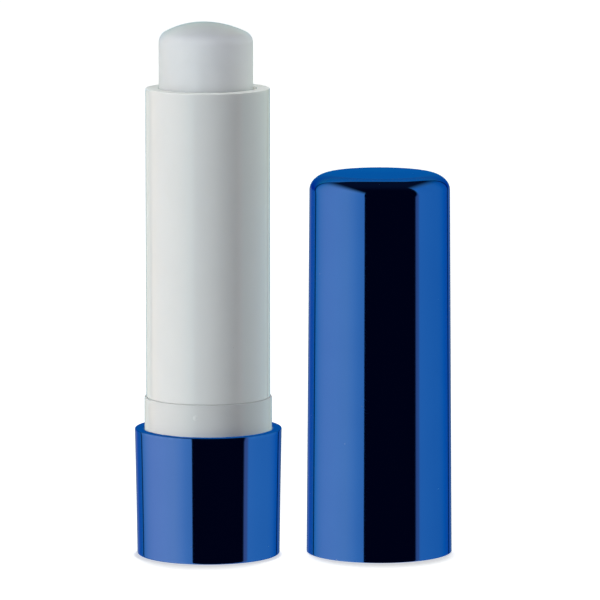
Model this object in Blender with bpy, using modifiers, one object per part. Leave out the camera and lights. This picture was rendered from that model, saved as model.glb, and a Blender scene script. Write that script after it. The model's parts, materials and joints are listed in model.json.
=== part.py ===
"""Twist-up lip balm stick: balm raised, cap taken off and stood beside it.

Metres, +Z up. The stick and the cap stand on height zero, and the origin is the middle of
their footprint. Seven mouldings make the stick:

    base_cup       turn base, keyed to the drive screw
    drive_screw    threaded spindle on a flange, with a snap head of four fingers
    guide_tube     inner barrel with two slots, and the collar that the cap snaps over
    barrel_sleeve  outer barrel with the in-turned mouth
    carrier        nut and cup under the balm, its lugs in the slots
    balm           the domed bullet
    cap            one tapered shell

The barrel turns on the base. The spindle's left-hand thread then lifts the carrier by one lead
for each turn.
"""

import math

import bmesh
import bpy
from mathutils import Matrix, Vector

OBJECT_NAME = "lip_balm_stick"

# Facets and shading
SEGMENTS = 48
ARC_STEPS = 4
EDGE_STEPS = 2
CAP_CORNER_STEPS = 6
THREAD_STEPS = 20
SHARP_ANGLE = math.radians(35)
MERGE_DISTANCE = 0.000002

# Colours, linear RGB
BLUE = (0.014, 0.100, 0.400)
SLEEVE_WHITE = (0.76, 0.77, 0.76)
COLLAR_WHITE = (0.74, 0.75, 0.74)
INNER_WHITE = (0.72, 0.72, 0.70)
WAX_WHITE = (0.74, 0.75, 0.73)
BLUE_ROUGHNESS = 0.08
PLASTIC_ROUGHNESS = 0.35
WAX_ROUGHNESS = 0.45
WAX_SUBSURFACE = 0.2

# Clearances between pieces, and how far cutters and buried ends reach past what they meet
SEAT_GAP = 0.00020
RUN_CLEARANCE = 0.00015
SLEEVE_FIT = 0.00012
CAST_GAP = 0.00012
OVERRUN = 0.0003

# Balm
BALM_RADIUS = 0.00612
BALM_SHOWN = 0.00862
BALM_CROWN_RADIUS = 0.0116
BALM_SHOULDER_RADIUS = 0.0013
BALM_RETRACTED_DEPTH = 0.0015
BALM_HOLE_CLEARANCE = 0.0003

# Barrel: the guide tube and the sleeve over it
MOUTH_HEIGHT = 0.0614
BALM_CLEARANCE = 0.00018
GUIDE_WALL = 0.00095
SLEEVE_WALL = 0.00075
LIP_THICKNESS = 0.0010
LIP_EDGE = 0.00018
LIP_MOUTH_EDGE = 0.00010
SLEEVE_SEAM = 0.00014
SLEEVE_FOOT_CHAMFER = 0.00008

# Collar under the sleeve
COLLAR_SHOWN = 0.00435
COLLAR_STEP = 0.00023
COLLAR_EDGE = 0.00012
COLLAR_LAND_DEPTH = 0.0025
COLLAR_RELIEF = 0.00015

# Snap nubs round the collar
NUB_COUNT = 3
NUB_HEIGHT = 0.00020
NUB_WIDTH = 0.0011
NUB_ABOVE_RIM = 0.0025
NUB_ANGLE = math.radians(-100.4)
NUB_SEGMENTS = 12
NUB_RINGS = 6

# Base cup
BASE_HEIGHT = 0.0165
RIM_WIDTH = 0.00113
RIM_EDGE = 0.00012
BASE_FLARE = 0.00028
BASE_FLARE_STEPS = 4
BASE_FOOT_EDGE = 0.0005
BASE_BORE_TAPER = 0.00010
FOOT_RING_WIDTH = 0.0012
FOOT_RECESS = 0.0004
BASE_FLOOR = 0.0013
FLANGE_BEAD_HEIGHT = 0.0003
FLANGE_BEAD_LENGTH = 0.0006

# Keys between the base cup and the drive screw's flange
KEY_COUNT = 4
KEY_WIDTH = 0.0012
KEY_DEPTH = 0.0010

# Drive screw
FLANGE_THICKNESS = 0.0013
HUB_WALL = 0.00125
HEAD_CLEARANCE = 0.0007
HEAD_OVERHANG = 0.00065
HEAD_LIP = 0.0003
HEAD_LENGTH = 0.0013
HEAD_TIP_INSET = 0.0002
FINGER_COUNT = 4
FINGER_GAP = 0.0010
THRUST_RING_WIDTH = 0.0014
POST_SHOULDER = 0.00015
THREAD_LEAD = 0.0030
THREAD_ROOT_RADIUS = 0.0016
THREAD_CREST_RADIUS = 0.0023
THREAD_CREST_LAND = 0.0005
THREAD_FLANK = 0.0004
SPINDLE_TIP_CHAMFER = 0.0006
SPINDLE_PAST_NUT = 0.0009

# Web at the foot of the guide tube, which runs between the thrust ring and the snap head
SKIRT_ABOVE_FLANGE = 0.0011
WEB_THICKNESS = 0.0012

# Carrier
CARRIER_ABOVE_HEAD = 0.0004
CUP_BELOW_MOUTH = 0.00588
CARRIER_FLOOR = 0.0012
CARRIER_CUP_HEIGHT = 0.0080
CARRIER_CUP_WALL = 0.00065
NUT_WALL = 0.00095
NUT_HEIGHT = 0.0050
LUG_COUNT = 2
LUG_WIDTH = 0.0020
LUG_HEIGHT = 0.0040
LUG_TIP_CLEARANCE = 0.0003
SLOT_CLEARANCE = 0.0002
SLOT_PAST_WALL = 0.00005
PETAL_COUNT = 4
PETAL_GAP = 0.0014
PETAL_GAP_DEPTH = 0.0052

# Cap, and where it stands beside the stick
CAP_HEADROOM = 0.0040
CAP_MOUTH_WALL = 0.0010
CAP_TAPER = 0.00044
CAP_BORE_TAPER = 0.00023
CAP_CORNER_REACH = 0.0031
CAP_CORNER_DROP = 0.0024
CAP_CROWN = 0.00010
CAP_MOUTH_EDGE = 0.00018
CAP_TOP_WALL = 0.0012
CAP_INNER_CORNER = 0.0020
CAP_BEAD_HEIGHT = 0.00008
CAP_BEAD_LENGTH = 0.0008
CAP_BEAD_UNDER_NUB = 0.00005
CAP_STAND_OFF = 0.00332
CAP_SET_BACK = 0.0015

# Radii that follow
BORE_RADIUS = BALM_RADIUS + BALM_CLEARANCE
GUIDE_RADIUS = BORE_RADIUS + GUIDE_WALL
SLEEVE_BORE_RADIUS = GUIDE_RADIUS + SLEEVE_FIT
BARREL_RADIUS = SLEEVE_BORE_RADIUS + SLEEVE_WALL
COLLAR_RADIUS = BARREL_RADIUS + COLLAR_STEP
SKIRT_RADIUS = COLLAR_RADIUS - COLLAR_RELIEF
RIM_BORE_RADIUS = COLLAR_RADIUS + RUN_CLEARANCE
RIM_RADIUS = RIM_BORE_RADIUS + RIM_WIDTH
FOOT_RADIUS = RIM_RADIUS - BASE_FLARE
BASE_BORE_RADIUS = RIM_BORE_RADIUS - BASE_BORE_TAPER
FLANGE_RADIUS = BASE_BORE_RADIUS - RUN_CLEARANCE
FLANGE_BEAD_RADIUS = BASE_BORE_RADIUS - FLANGE_BEAD_HEIGHT
HEAD_RADIUS = BORE_RADIUS - HEAD_CLEARANCE
HUB_RADIUS = HEAD_RADIUS - HEAD_OVERHANG
HEAD_TIP_RADIUS = HUB_RADIUS - HEAD_TIP_INSET
THRUST_RADIUS = HUB_RADIUS + THRUST_RING_WIDTH
WEB_BORE_RADIUS = HUB_RADIUS + SEAT_GAP
POST_RADIUS = THREAD_CREST_RADIUS + POST_SHOULDER
NUT_RADIUS = THREAD_CREST_RADIUS + RUN_CLEARANCE + NUT_WALL
CARRIER_RADIUS = BORE_RADIUS - SEAT_GAP
CARRIER_CUP_BORE = CARRIER_RADIUS - CARRIER_CUP_WALL
LUG_RADIUS = GUIDE_RADIUS - LUG_TIP_CLEARANCE
CAP_BORE_RADIUS = COLLAR_RADIUS + RUN_CLEARANCE
CAP_MOUTH_RADIUS = CAP_BORE_RADIUS + CAP_MOUTH_WALL

# Heights that follow, bottom to top
BASE_FLOOR_TOP = FOOT_RECESS + BASE_FLOOR
FLANGE_BOTTOM = BASE_FLOOR_TOP + SEAT_GAP
FLANGE_TOP = FLANGE_BOTTOM + FLANGE_THICKNESS
FLANGE_BEAD_BOTTOM = FLANGE_TOP + RUN_CLEARANCE
WEB_BOTTOM = FLANGE_TOP + SKIRT_ABOVE_FLANGE
WEB_TOP = WEB_BOTTOM + WEB_THICKNESS
THRUST_TOP = WEB_BOTTOM - RUN_CLEARANCE
HEAD_BOTTOM = WEB_TOP + SEAT_GAP
HEAD_TOP = HEAD_BOTTOM + HEAD_LENGTH
LIP_BOTTOM = MOUTH_HEIGHT - LIP_THICKNESS
GUIDE_TOP = LIP_BOTTOM - SEAT_GAP
BALM_TOP = MOUTH_HEIGHT + BALM_SHOWN
COLLAR_HEIGHT = BASE_HEIGHT + COLLAR_SHOWN
SLEEVE_BOTTOM = COLLAR_HEIGHT + SLEEVE_SEAM

# The carrier's travel: at its foot the balm's top is below the mouth, at its head the cup's edge is
CARRIER_DROP = BALM_SHOWN + BALM_RETRACTED_DEPTH
CARRIER_LOWEST = HEAD_TOP + CARRIER_ABOVE_HEAD
CARRIER_BOTTOM = CARRIER_LOWEST + CARRIER_DROP
CARRIER_HIGHEST = MOUTH_HEIGHT - CUP_BELOW_MOUTH - CARRIER_CUP_HEIGHT
NUT_TOP = CARRIER_BOTTOM + NUT_HEIGHT
CUP_TOP = CARRIER_BOTTOM + CARRIER_CUP_HEIGHT
SPINDLE_TOP = CARRIER_HIGHEST + NUT_HEIGHT + SPINDLE_PAST_NUT

# The thread's first crest, its whole first turn buried in the post
FIRST_CREST = HEAD_TOP - THREAD_LEAD

# The cap: put on, its mouth is on the base's rim, its bead under the nubs, its roof over the mouth
CAP_HEIGHT = MOUTH_HEIGHT - BASE_HEIGHT + CAP_HEADROOM + CAP_TOP_WALL
CAP_BEAD_TOP = NUB_ABOVE_RIM - NUB_WIDTH / 2 + CAP_BEAD_UNDER_NUB
CAP_ASIDE = RIM_RADIUS + CAP_MOUTH_RADIUS + CAP_STAND_OFF

# The footprint's middle, from the stick's axis
FOOTPRINT_X = (CAP_ASIDE + CAP_MOUTH_RADIUS - RIM_RADIUS) / 2
FOOTPRINT_BACK = max(RIM_RADIUS, CAP_SET_BACK + CAP_MOUTH_RADIUS)
FOOTPRINT_FRONT = max(RIM_RADIUS, CAP_MOUTH_RADIUS - CAP_SET_BACK)
FOOTPRINT_Y = (FOOTPRINT_BACK - FOOTPRINT_FRONT) / 2


# Scene and materials


def clear_scene():
    for obj in list(bpy.data.objects):
        bpy.data.objects.remove(obj, do_unlink=True)


def new_collection(name):
    made = bpy.data.collections.new(name)
    bpy.context.scene.collection.children.link(made)
    return made


def finish(name, colour, roughness, metallic=0.0, subsurface=0.0):
    """A Principled material, its colour in linear RGB."""
    material = bpy.data.materials.new(name)
    material.use_nodes = True
    shader = material.node_tree.nodes["Principled BSDF"]
    shader.inputs["Base Color"].default_value = (*colour, 1.0)
    shader.inputs["Roughness"].default_value = roughness
    shader.inputs["Metallic"].default_value = metallic
    shader.inputs["Subsurface Weight"].default_value = subsurface
    material.diffuse_color = (*colour, 1.0)
    return material


def axis_empty(name, parent=None, place=(0.0, 0.0, 0.0)):
    """An empty on a body's axis, which carries the pieces of that body."""
    empty = bpy.data.objects.new(name, None)
    empty.location = place
    empty.parent = parent
    parts.objects.link(empty)
    return empty


def add_piece(name, mesh, parent, material=None):
    """Adds a part or, without a material, a hidden cutter."""
    obj = bpy.data.objects.new(name, mesh)
    obj.parent = parent
    if material is None:
        cutters.objects.link(obj)
        obj.hide_render = True
        obj.display_type = "WIRE"
    else:
        parts.objects.link(obj)
        mesh.materials.append(material)
    return obj


def baked_mesh(obj):
    """The object's mesh with its modifiers applied."""
    bpy.context.view_layer.update()
    graph = bpy.context.evaluated_depsgraph_get()
    return bpy.data.meshes.new_from_object(obj.evaluated_get(graph))


def settle(obj):
    """Applies a finished part's modifiers and shades its round faces smooth between sharp edges."""
    mesh = baked_mesh(obj)
    obj.modifiers.clear()
    obj.data = mesh
    mesh.name = obj.name
    mesh.shade_smooth()
    mesh.set_sharp_from_angle(angle=SHARP_ANGLE)


# Outlines are points (radius, height) that run down the outer side


def arc(centre, reach, drop, start, end, steps=ARC_STEPS):
    """Points on an ellipse's arc, from one angle to the other, in degrees above the outward side."""
    points = []
    for step in range(steps + 1):
        angle = math.radians(start + (end - start) * step / steps)
        points.append((centre[0] + reach * math.cos(angle), centre[1] + drop * math.sin(angle)))
    return points


def outline_mesh(name, outline, closed):
    """The outline as loose edges in the XZ plane."""
    shape = bmesh.new()
    verts = [shape.verts.new((radius, 0.0, height)) for radius, height in outline]
    for first, second in zip(verts, verts[1:]):
        shape.edges.new((first, second))
    if closed:
        shape.edges.new((verts[-1], verts[0]))
    mesh = bpy.data.meshes.new(name)
    shape.to_mesh(mesh)
    shape.free()
    return mesh


def screw_about_axis(obj, steps):
    """Sweeps the outline once round the axis."""
    screw = obj.modifiers.new("turn", "SCREW")
    screw.axis = "Z"
    screw.steps = steps
    screw.render_steps = steps
    screw.use_merge_vertices = True
    screw.merge_threshold = MERGE_DISTANCE
    screw.use_smooth_shade = True
    return screw


def turned(name, outline, parent, material=None, closed=False):
    """A turned form. A closed outline makes a ring, an open one starts and ends on the axis."""
    obj = add_piece(name, outline_mesh(name, outline, closed), parent, material)
    screw_about_axis(obj, SEGMENTS)
    return obj


def blocks(name, parent, angles, inner, outer, width, low, high):
    """A cutter of equal blocks set round the axis, each reaching from one radius to another."""
    shape = bmesh.new()
    for angle in angles:
        corners = bmesh.ops.create_cube(shape, size=1.0)["verts"]
        bmesh.ops.scale(shape, verts=corners, vec=(outer - inner, width, high - low))
        middle = Vector(((inner + outer) / 2, 0.0, (low + high) / 2))
        bmesh.ops.translate(shape, verts=corners, vec=middle)
        turn = Matrix.Rotation(angle, 3, "Z")
        bmesh.ops.rotate(shape, verts=corners, cent=(0.0, 0.0, 0.0), matrix=turn)
    mesh = bpy.data.meshes.new(name)
    shape.to_mesh(mesh)
    shape.free()
    return add_piece(name, mesh, parent)


def boolean(obj, other, operation):
    """Joins, cuts or trims one form with another."""
    modifier = obj.modifiers.new(other.name, "BOOLEAN")
    modifier.object = other
    modifier.operation = operation
    modifier.solver = "EXACT"


def angles_round(count, first=0.0):
    """Equal angles round the axis."""
    return [first + math.tau * index / count for index in range(count)]


# The thread, which takes the most skill: one helical surface makes the spindle and the nut's tap


def thread_outline(clearance):
    """One lead of the thread, its crest centred on height zero."""
    root = THREAD_ROOT_RADIUS + clearance
    crest = THREAD_CREST_RADIUS + clearance
    crest_half = THREAD_CREST_LAND / 2 + clearance
    foot_half = crest_half + THREAD_FLANK
    return [
        (root, THREAD_LEAD - foot_half),
        (root, foot_half),
        (crest, crest_half),
        (crest, -crest_half),
        (root, -foot_half),
    ]


def threaded_rod(name, parent, first_crest, turns, clearance=0.0):
    """A left-hand threaded rod, closed by a cone at each end, with a crest at this height on the +X side."""
    mesh = outline_mesh(name, thread_outline(clearance), closed=False)
    mesh.transform(Matrix.Translation((0.0, 0.0, first_crest)))
    rod = add_piece(name, mesh, parent)
    screw = screw_about_axis(rod, THREAD_STEPS)
    screw.angle = -math.tau
    screw.screw_offset = THREAD_LEAD
    screw.iterations = turns
    shape = bmesh.new()
    shape.from_mesh(baked_mesh(rod))
    rod.modifiers.clear()
    bmesh.ops.remove_doubles(shape, verts=shape.verts, dist=MERGE_DISTANCE)
    rims = [edge for edge in shape.edges if edge.is_boundary]
    skirts = bmesh.ops.extrude_edge_only(shape, edges=rims)["geom"]
    tips = [item for item in skirts if isinstance(item, bmesh.types.BMVert)]
    middle = first_crest + THREAD_LEAD * turns / 2
    low_end = [vert for vert in tips if vert.co.z < middle]
    high_end = [vert for vert in tips if vert.co.z > middle]
    cone_reach = THREAD_LEAD * (turns + 1) / 2
    bmesh.ops.pointmerge(shape, verts=low_end, merge_co=(0.0, 0.0, middle - cone_reach))
    bmesh.ops.pointmerge(shape, verts=high_end, merge_co=(0.0, 0.0, middle + cone_reach))
    bmesh.ops.recalc_face_normals(shape, faces=shape.faces)
    shape.to_mesh(mesh)
    shape.free()
    return rod


# The stick's pieces


def base_bore(height):
    """The base cup's bore radius, which tapers down from the rim."""
    return RIM_BORE_RADIUS - BASE_BORE_TAPER * (BASE_HEIGHT - height) / BASE_HEIGHT


def base_wall(height):
    """The base cup's outer radius, which flares towards the rim."""
    return FOOT_RADIUS + BASE_FLARE * (height / BASE_HEIGHT) ** 2


def build_base_cup(body, material):
    bead_middle = FLANGE_BEAD_BOTTOM + FLANGE_BEAD_LENGTH / 2
    bead_top = FLANGE_BEAD_BOTTOM + FLANGE_BEAD_LENGTH
    rim_low = BASE_HEIGHT - RIM_EDGE
    foot_centre = (FOOT_RADIUS - BASE_FOOT_EDGE, BASE_FOOT_EDGE)
    recess_radius = FOOT_RADIUS - BASE_FOOT_EDGE - FOOT_RING_WIDTH
    outline = [
        (0.0, BASE_FLOOR_TOP),
        (base_bore(BASE_FLOOR_TOP), BASE_FLOOR_TOP),
        (base_bore(FLANGE_BEAD_BOTTOM), FLANGE_BEAD_BOTTOM),
        (FLANGE_BEAD_RADIUS, bead_middle),
        (base_bore(bead_top), bead_top),
        (base_bore(rim_low), rim_low),
        (RIM_BORE_RADIUS + RIM_EDGE, BASE_HEIGHT),
        (RIM_RADIUS - RIM_EDGE, BASE_HEIGHT),
        (RIM_RADIUS, rim_low),
    ]
    for step in range(BASE_FLARE_STEPS - 1, 0, -1):
        height = BASE_FOOT_EDGE + (rim_low - BASE_FOOT_EDGE) * step / BASE_FLARE_STEPS
        outline.append((base_wall(height), height))
    outline += arc(foot_centre, BASE_FOOT_EDGE, BASE_FOOT_EDGE, 0, -90)
    outline += [
        (recess_radius, 0.0),
        (recess_radius - FOOT_RECESS, FOOT_RECESS),
        (0.0, FOOT_RECESS),
    ]
    cup = turned("base_cup", outline, body, material)
    key_inner = BASE_BORE_RADIUS - KEY_DEPTH
    key_outer = BASE_BORE_RADIUS + OVERRUN
    key_foot = BASE_FLOOR_TOP - OVERRUN
    angles = angles_round(KEY_COUNT)
    keys = blocks("base_keys", body, angles, key_inner, key_outer, KEY_WIDTH, key_foot, FLANGE_TOP)
    boolean(cup, keys, "UNION")
    return cup


def build_drive_screw(body, material):
    ring_bore = HUB_RADIUS - HUB_WALL
    outline = [
        (0.0, HEAD_TOP),
        (POST_RADIUS, HEAD_TOP),
        (POST_RADIUS, FLANGE_TOP),
        (ring_bore, FLANGE_TOP),
        (ring_bore, HEAD_TOP),
        (HEAD_TIP_RADIUS, HEAD_TOP),
        (HEAD_RADIUS, HEAD_BOTTOM + HEAD_LIP),
        (HEAD_RADIUS, HEAD_BOTTOM),
        (HUB_RADIUS, HEAD_BOTTOM),
        (HUB_RADIUS, THRUST_TOP),
        (THRUST_RADIUS, THRUST_TOP),
        (THRUST_RADIUS, FLANGE_TOP),
        (FLANGE_RADIUS, FLANGE_TOP),
        (FLANGE_RADIUS, FLANGE_BOTTOM),
        (0.0, FLANGE_BOTTOM),
    ]
    screw = turned("drive_screw", outline, body, material)

    turns = math.ceil((SPINDLE_TOP - FIRST_CREST) / THREAD_LEAD) + 1
    spindle = threaded_rod("spindle_thread", body, FIRST_CREST, turns)
    trim_radius = THREAD_CREST_RADIUS + OVERRUN
    trim_outline = [
        (0.0, SPINDLE_TOP),
        (THREAD_CREST_RADIUS - SPINDLE_TIP_CHAMFER, SPINDLE_TOP),
        (trim_radius, SPINDLE_TOP - SPINDLE_TIP_CHAMFER - OVERRUN),
        (trim_radius, FLANGE_BOTTOM),
        (0.0, FLANGE_BOTTOM),
    ]
    trim = turned("spindle_trim", trim_outline, body)
    boolean(spindle, trim, "INTERSECT")
    boolean(screw, spindle, "UNION")

    slot_inner = ring_bore - OVERRUN
    slot_outer = HEAD_RADIUS + OVERRUN
    slot_top = HEAD_TOP + OVERRUN
    angles = angles_round(FINGER_COUNT, math.pi / FINGER_COUNT)
    slots = blocks("finger_slots", body, angles, slot_inner, slot_outer, FINGER_GAP, THRUST_TOP, slot_top)
    boolean(screw, slots, "DIFFERENCE")

    notch_inner = BASE_BORE_RADIUS - KEY_DEPTH - RUN_CLEARANCE
    notch_outer = FLANGE_RADIUS + OVERRUN
    notch_width = KEY_WIDTH + 2 * RUN_CLEARANCE
    low = FLANGE_BOTTOM - OVERRUN
    high = FLANGE_TOP + OVERRUN
    angles = angles_round(KEY_COUNT)
    notches = blocks("key_notches", body, angles, notch_inner, notch_outer, notch_width, low, high)
    boolean(screw, notches, "DIFFERENCE")
    return screw


def build_nubs(body):
    """Shallow domes round the collar, which the cap's bead clicks over."""
    radius = (NUB_WIDTH**2 / 4 + NUB_HEIGHT**2) / (2 * NUB_HEIGHT)
    reach = COLLAR_RADIUS + NUB_HEIGHT - radius
    shape = bmesh.new()
    for angle in angles_round(NUB_COUNT, NUB_ANGLE):
        place = (reach * math.cos(angle), reach * math.sin(angle), BASE_HEIGHT + NUB_ABOVE_RIM)
        bmesh.ops.create_uvsphere(
            shape,
            u_segments=NUB_SEGMENTS,
            v_segments=NUB_RINGS,
            radius=radius,
            matrix=Matrix.Translation(place),
        )
    mesh = bpy.data.meshes.new("snap_nubs")
    shape.to_mesh(mesh)
    shape.free()
    return add_piece("snap_nubs", mesh, body)


def build_guide_tube(body, material):
    land_bottom = BASE_HEIGHT - COLLAR_LAND_DEPTH
    edge_centre = (COLLAR_RADIUS - COLLAR_EDGE, COLLAR_HEIGHT - COLLAR_EDGE)
    outline = [
        (GUIDE_RADIUS, GUIDE_TOP),
        (GUIDE_RADIUS, COLLAR_HEIGHT),
        *arc(edge_centre, COLLAR_EDGE, COLLAR_EDGE, 90, 0, EDGE_STEPS),
        (COLLAR_RADIUS, land_bottom),
        (SKIRT_RADIUS, land_bottom - COLLAR_RELIEF),
        (SKIRT_RADIUS, WEB_BOTTOM),
        (WEB_BORE_RADIUS, WEB_BOTTOM),
        (WEB_BORE_RADIUS, WEB_TOP),
        (BORE_RADIUS, WEB_TOP),
        (BORE_RADIUS, GUIDE_TOP),
    ]
    tube = turned("guide_tube", outline, body, material, closed=True)
    boolean(tube, build_nubs(body), "UNION")
    slot_inner = BORE_RADIUS - OVERRUN
    slot_outer = GUIDE_RADIUS + SLOT_PAST_WALL
    slot_width = LUG_WIDTH + 2 * SLOT_CLEARANCE
    low = CARRIER_LOWEST - SLOT_CLEARANCE
    high = CARRIER_HIGHEST + LUG_HEIGHT + SLOT_CLEARANCE
    angles = angles_round(LUG_COUNT)
    slots = blocks("guide_slots", body, angles, slot_inner, slot_outer, slot_width, low, high)
    boolean(tube, slots, "DIFFERENCE")
    return tube


def build_barrel_sleeve(body, material):
    edge_centre = (BARREL_RADIUS - LIP_EDGE, MOUTH_HEIGHT - LIP_EDGE)
    outline = [
        (BORE_RADIUS + LIP_MOUTH_EDGE, MOUTH_HEIGHT),
        *arc(edge_centre, LIP_EDGE, LIP_EDGE, 90, 0, EDGE_STEPS),
        (BARREL_RADIUS, SLEEVE_BOTTOM + SLEEVE_FOOT_CHAMFER),
        (BARREL_RADIUS - SLEEVE_FOOT_CHAMFER, SLEEVE_BOTTOM),
        (SLEEVE_BORE_RADIUS, SLEEVE_BOTTOM),
        (SLEEVE_BORE_RADIUS, LIP_BOTTOM),
        (BORE_RADIUS, LIP_BOTTOM),
        (BORE_RADIUS, MOUTH_HEIGHT - LIP_MOUTH_EDGE),
    ]
    return turned("barrel_sleeve", outline, body, material, closed=True)


def build_carrier(body, material):
    floor_top = CARRIER_BOTTOM + CARRIER_FLOOR
    outline = [
        (0.0, NUT_TOP),
        (NUT_RADIUS, NUT_TOP),
        (NUT_RADIUS, floor_top),
        (CARRIER_CUP_BORE, floor_top),
        (CARRIER_CUP_BORE, CUP_TOP),
        (CARRIER_RADIUS, CUP_TOP),
        (CARRIER_RADIUS, CARRIER_BOTTOM),
        (0.0, CARRIER_BOTTOM),
    ]
    carrier = turned("carrier", outline, body, material)
    lug_inner = CARRIER_CUP_BORE + CARRIER_CUP_WALL / 2
    lug_top = CARRIER_BOTTOM + LUG_HEIGHT
    angles = angles_round(LUG_COUNT)
    lugs = blocks("lugs", body, angles, lug_inner, LUG_RADIUS, LUG_WIDTH, CARRIER_BOTTOM, lug_top)
    boolean(carrier, lugs, "UNION")

    gap_inner = CARRIER_CUP_BORE - OVERRUN
    gap_outer = CARRIER_RADIUS + OVERRUN
    gap_low = CUP_TOP - PETAL_GAP_DEPTH
    gap_high = CUP_TOP + OVERRUN
    angles = angles_round(PETAL_COUNT, math.pi / PETAL_COUNT)
    gaps = blocks("petal_gaps", body, angles, gap_inner, gap_outer, PETAL_GAP, gap_low, gap_high)
    boolean(carrier, gaps, "DIFFERENCE")

    leads_up = math.floor((CARRIER_BOTTOM - FIRST_CREST) / THREAD_LEAD) - 1
    tap_crest = FIRST_CREST + THREAD_LEAD * leads_up
    turns = math.ceil(NUT_HEIGHT / THREAD_LEAD) + 3
    tap = threaded_rod("nut_tap", body, tap_crest, turns, RUN_CLEARANCE)
    boolean(carrier, tap, "DIFFERENCE")
    return carrier


def build_balm(body, material):
    crown_centre = (0.0, BALM_TOP - BALM_CROWN_RADIUS)
    between = BALM_CROWN_RADIUS - BALM_SHOULDER_RADIUS
    shoulder_in = BALM_RADIUS - BALM_SHOULDER_RADIUS
    shoulder_up = math.sqrt(between**2 - shoulder_in**2)
    meet = math.degrees(math.atan2(shoulder_up, shoulder_in))
    shoulder_centre = (shoulder_in, crown_centre[1] + shoulder_up)
    crown = arc(crown_centre, BALM_CROWN_RADIUS, BALM_CROWN_RADIUS, 90, meet)
    shoulder = arc(shoulder_centre, BALM_SHOULDER_RADIUS, BALM_SHOULDER_RADIUS, meet, 0)
    seat = CUP_TOP + CAST_GAP
    plug_radius = CARRIER_CUP_BORE - CAST_GAP
    plug_bottom = CARRIER_BOTTOM + CARRIER_FLOOR + CAST_GAP
    nut_hole = NUT_RADIUS + CAST_GAP
    hole_radius = THREAD_CREST_RADIUS + BALM_HOLE_CLEARANCE
    hole_step = NUT_TOP + CAST_GAP
    hole_top = SPINDLE_TOP + CARRIER_DROP + BALM_HOLE_CLEARANCE
    outline = [
        (0.0, BALM_TOP),
        *crown[1:],
        *shoulder[1:],
        (BALM_RADIUS, seat),
        (plug_radius, seat),
        (plug_radius, plug_bottom),
        (nut_hole, plug_bottom),
        (nut_hole, hole_step),
        (hole_radius, hole_step),
        (hole_radius, hole_top),
        (0.0, hole_top),
    ]
    return turned("balm", outline, body, material)


def cap_wall(height):
    """The cap's outer radius, which tapers in from the mouth."""
    return CAP_MOUTH_RADIUS - CAP_TAPER * height / CAP_HEIGHT


def cap_bore(height):
    """The cap's inner radius, on its own taper."""
    return CAP_BORE_RADIUS - CAP_BORE_TAPER * height / CAP_HEIGHT


def build_cap(body, material):
    corner_height = CAP_HEIGHT - CAP_CROWN - CAP_CORNER_DROP
    flat_radius = cap_wall(corner_height) - CAP_CORNER_REACH
    corner = arc((flat_radius, corner_height), CAP_CORNER_REACH, CAP_CORNER_DROP, 90, 0, CAP_CORNER_STEPS)
    inner_top = CAP_HEIGHT - CAP_TOP_WALL
    inner_height = inner_top - CAP_INNER_CORNER
    inner_centre = (cap_bore(inner_height) - CAP_INNER_CORNER, inner_height)
    bead_bottom = CAP_BEAD_TOP - CAP_BEAD_LENGTH
    bead_middle = CAP_BEAD_TOP - CAP_BEAD_LENGTH / 2
    outline = [
        (0.0, CAP_HEIGHT),
        *corner,
        (CAP_MOUTH_RADIUS, CAP_MOUTH_EDGE),
        (CAP_MOUTH_RADIUS - CAP_MOUTH_EDGE, 0.0),
        (CAP_BORE_RADIUS + CAP_MOUTH_EDGE, 0.0),
        (CAP_BORE_RADIUS, CAP_MOUTH_EDGE),
        (cap_bore(bead_bottom), bead_bottom),
        (cap_bore(bead_middle) - CAP_BEAD_HEIGHT, bead_middle),
        (cap_bore(CAP_BEAD_TOP), CAP_BEAD_TOP),
        *arc(inner_centre, CAP_INNER_CORNER, CAP_INNER_CORNER, 0, 90),
        (0.0, inner_top),
    ]
    return turned("cap", outline, body, material)


clear_scene()
parts = new_collection(OBJECT_NAME)
cutters = new_collection("cutters")

# The bodies' axes: the barrel turns on the stick, the carrier slides in the barrel
stick = axis_empty("stick_axis", place=(-FOOTPRINT_X, -FOOTPRINT_Y, 0.0))
barrel = axis_empty("barrel_axis", parent=stick)
lift = axis_empty("carrier_axis", parent=barrel)
cap_place = (CAP_ASIDE - FOOTPRINT_X, CAP_SET_BACK - FOOTPRINT_Y, 0.0)
cap_stand = axis_empty("cap_axis", place=cap_place)

built = [
    build_base_cup(stick, finish("base_metallised_blue", BLUE, BLUE_ROUGHNESS, 1.0)),
    build_drive_screw(stick, finish("drive_screw_plastic", INNER_WHITE, PLASTIC_ROUGHNESS)),
    build_guide_tube(barrel, finish("guide_tube_plastic", COLLAR_WHITE, PLASTIC_ROUGHNESS)),
    build_barrel_sleeve(barrel, finish("sleeve_plastic", SLEEVE_WHITE, PLASTIC_ROUGHNESS)),
    build_carrier(lift, finish("carrier_plastic", INNER_WHITE, PLASTIC_ROUGHNESS)),
    build_balm(lift, finish("balm_wax", WAX_WHITE, WAX_ROUGHNESS, 0.0, WAX_SUBSURFACE)),
    build_cap(cap_stand, finish("cap_metallised_blue", BLUE, BLUE_ROUGHNESS, 1.0)),
]
for part in built:
    settle(part)
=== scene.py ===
"""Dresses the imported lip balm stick: balm raised, cap taken off and stood beside it.

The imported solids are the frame. A finer moulding of the same size, turned from a rounded outline,
stands for each of them and rides on its body. Metres, +Z up, the camera looking along +Y.
"""

import sys

import json
import logging
import math
from dataclasses import dataclass
from enum import Enum
from functools import cache

import bmesh
import bpy
from mathutils import Matrix, Vector
from mathutils.kdtree import KDTree

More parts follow.
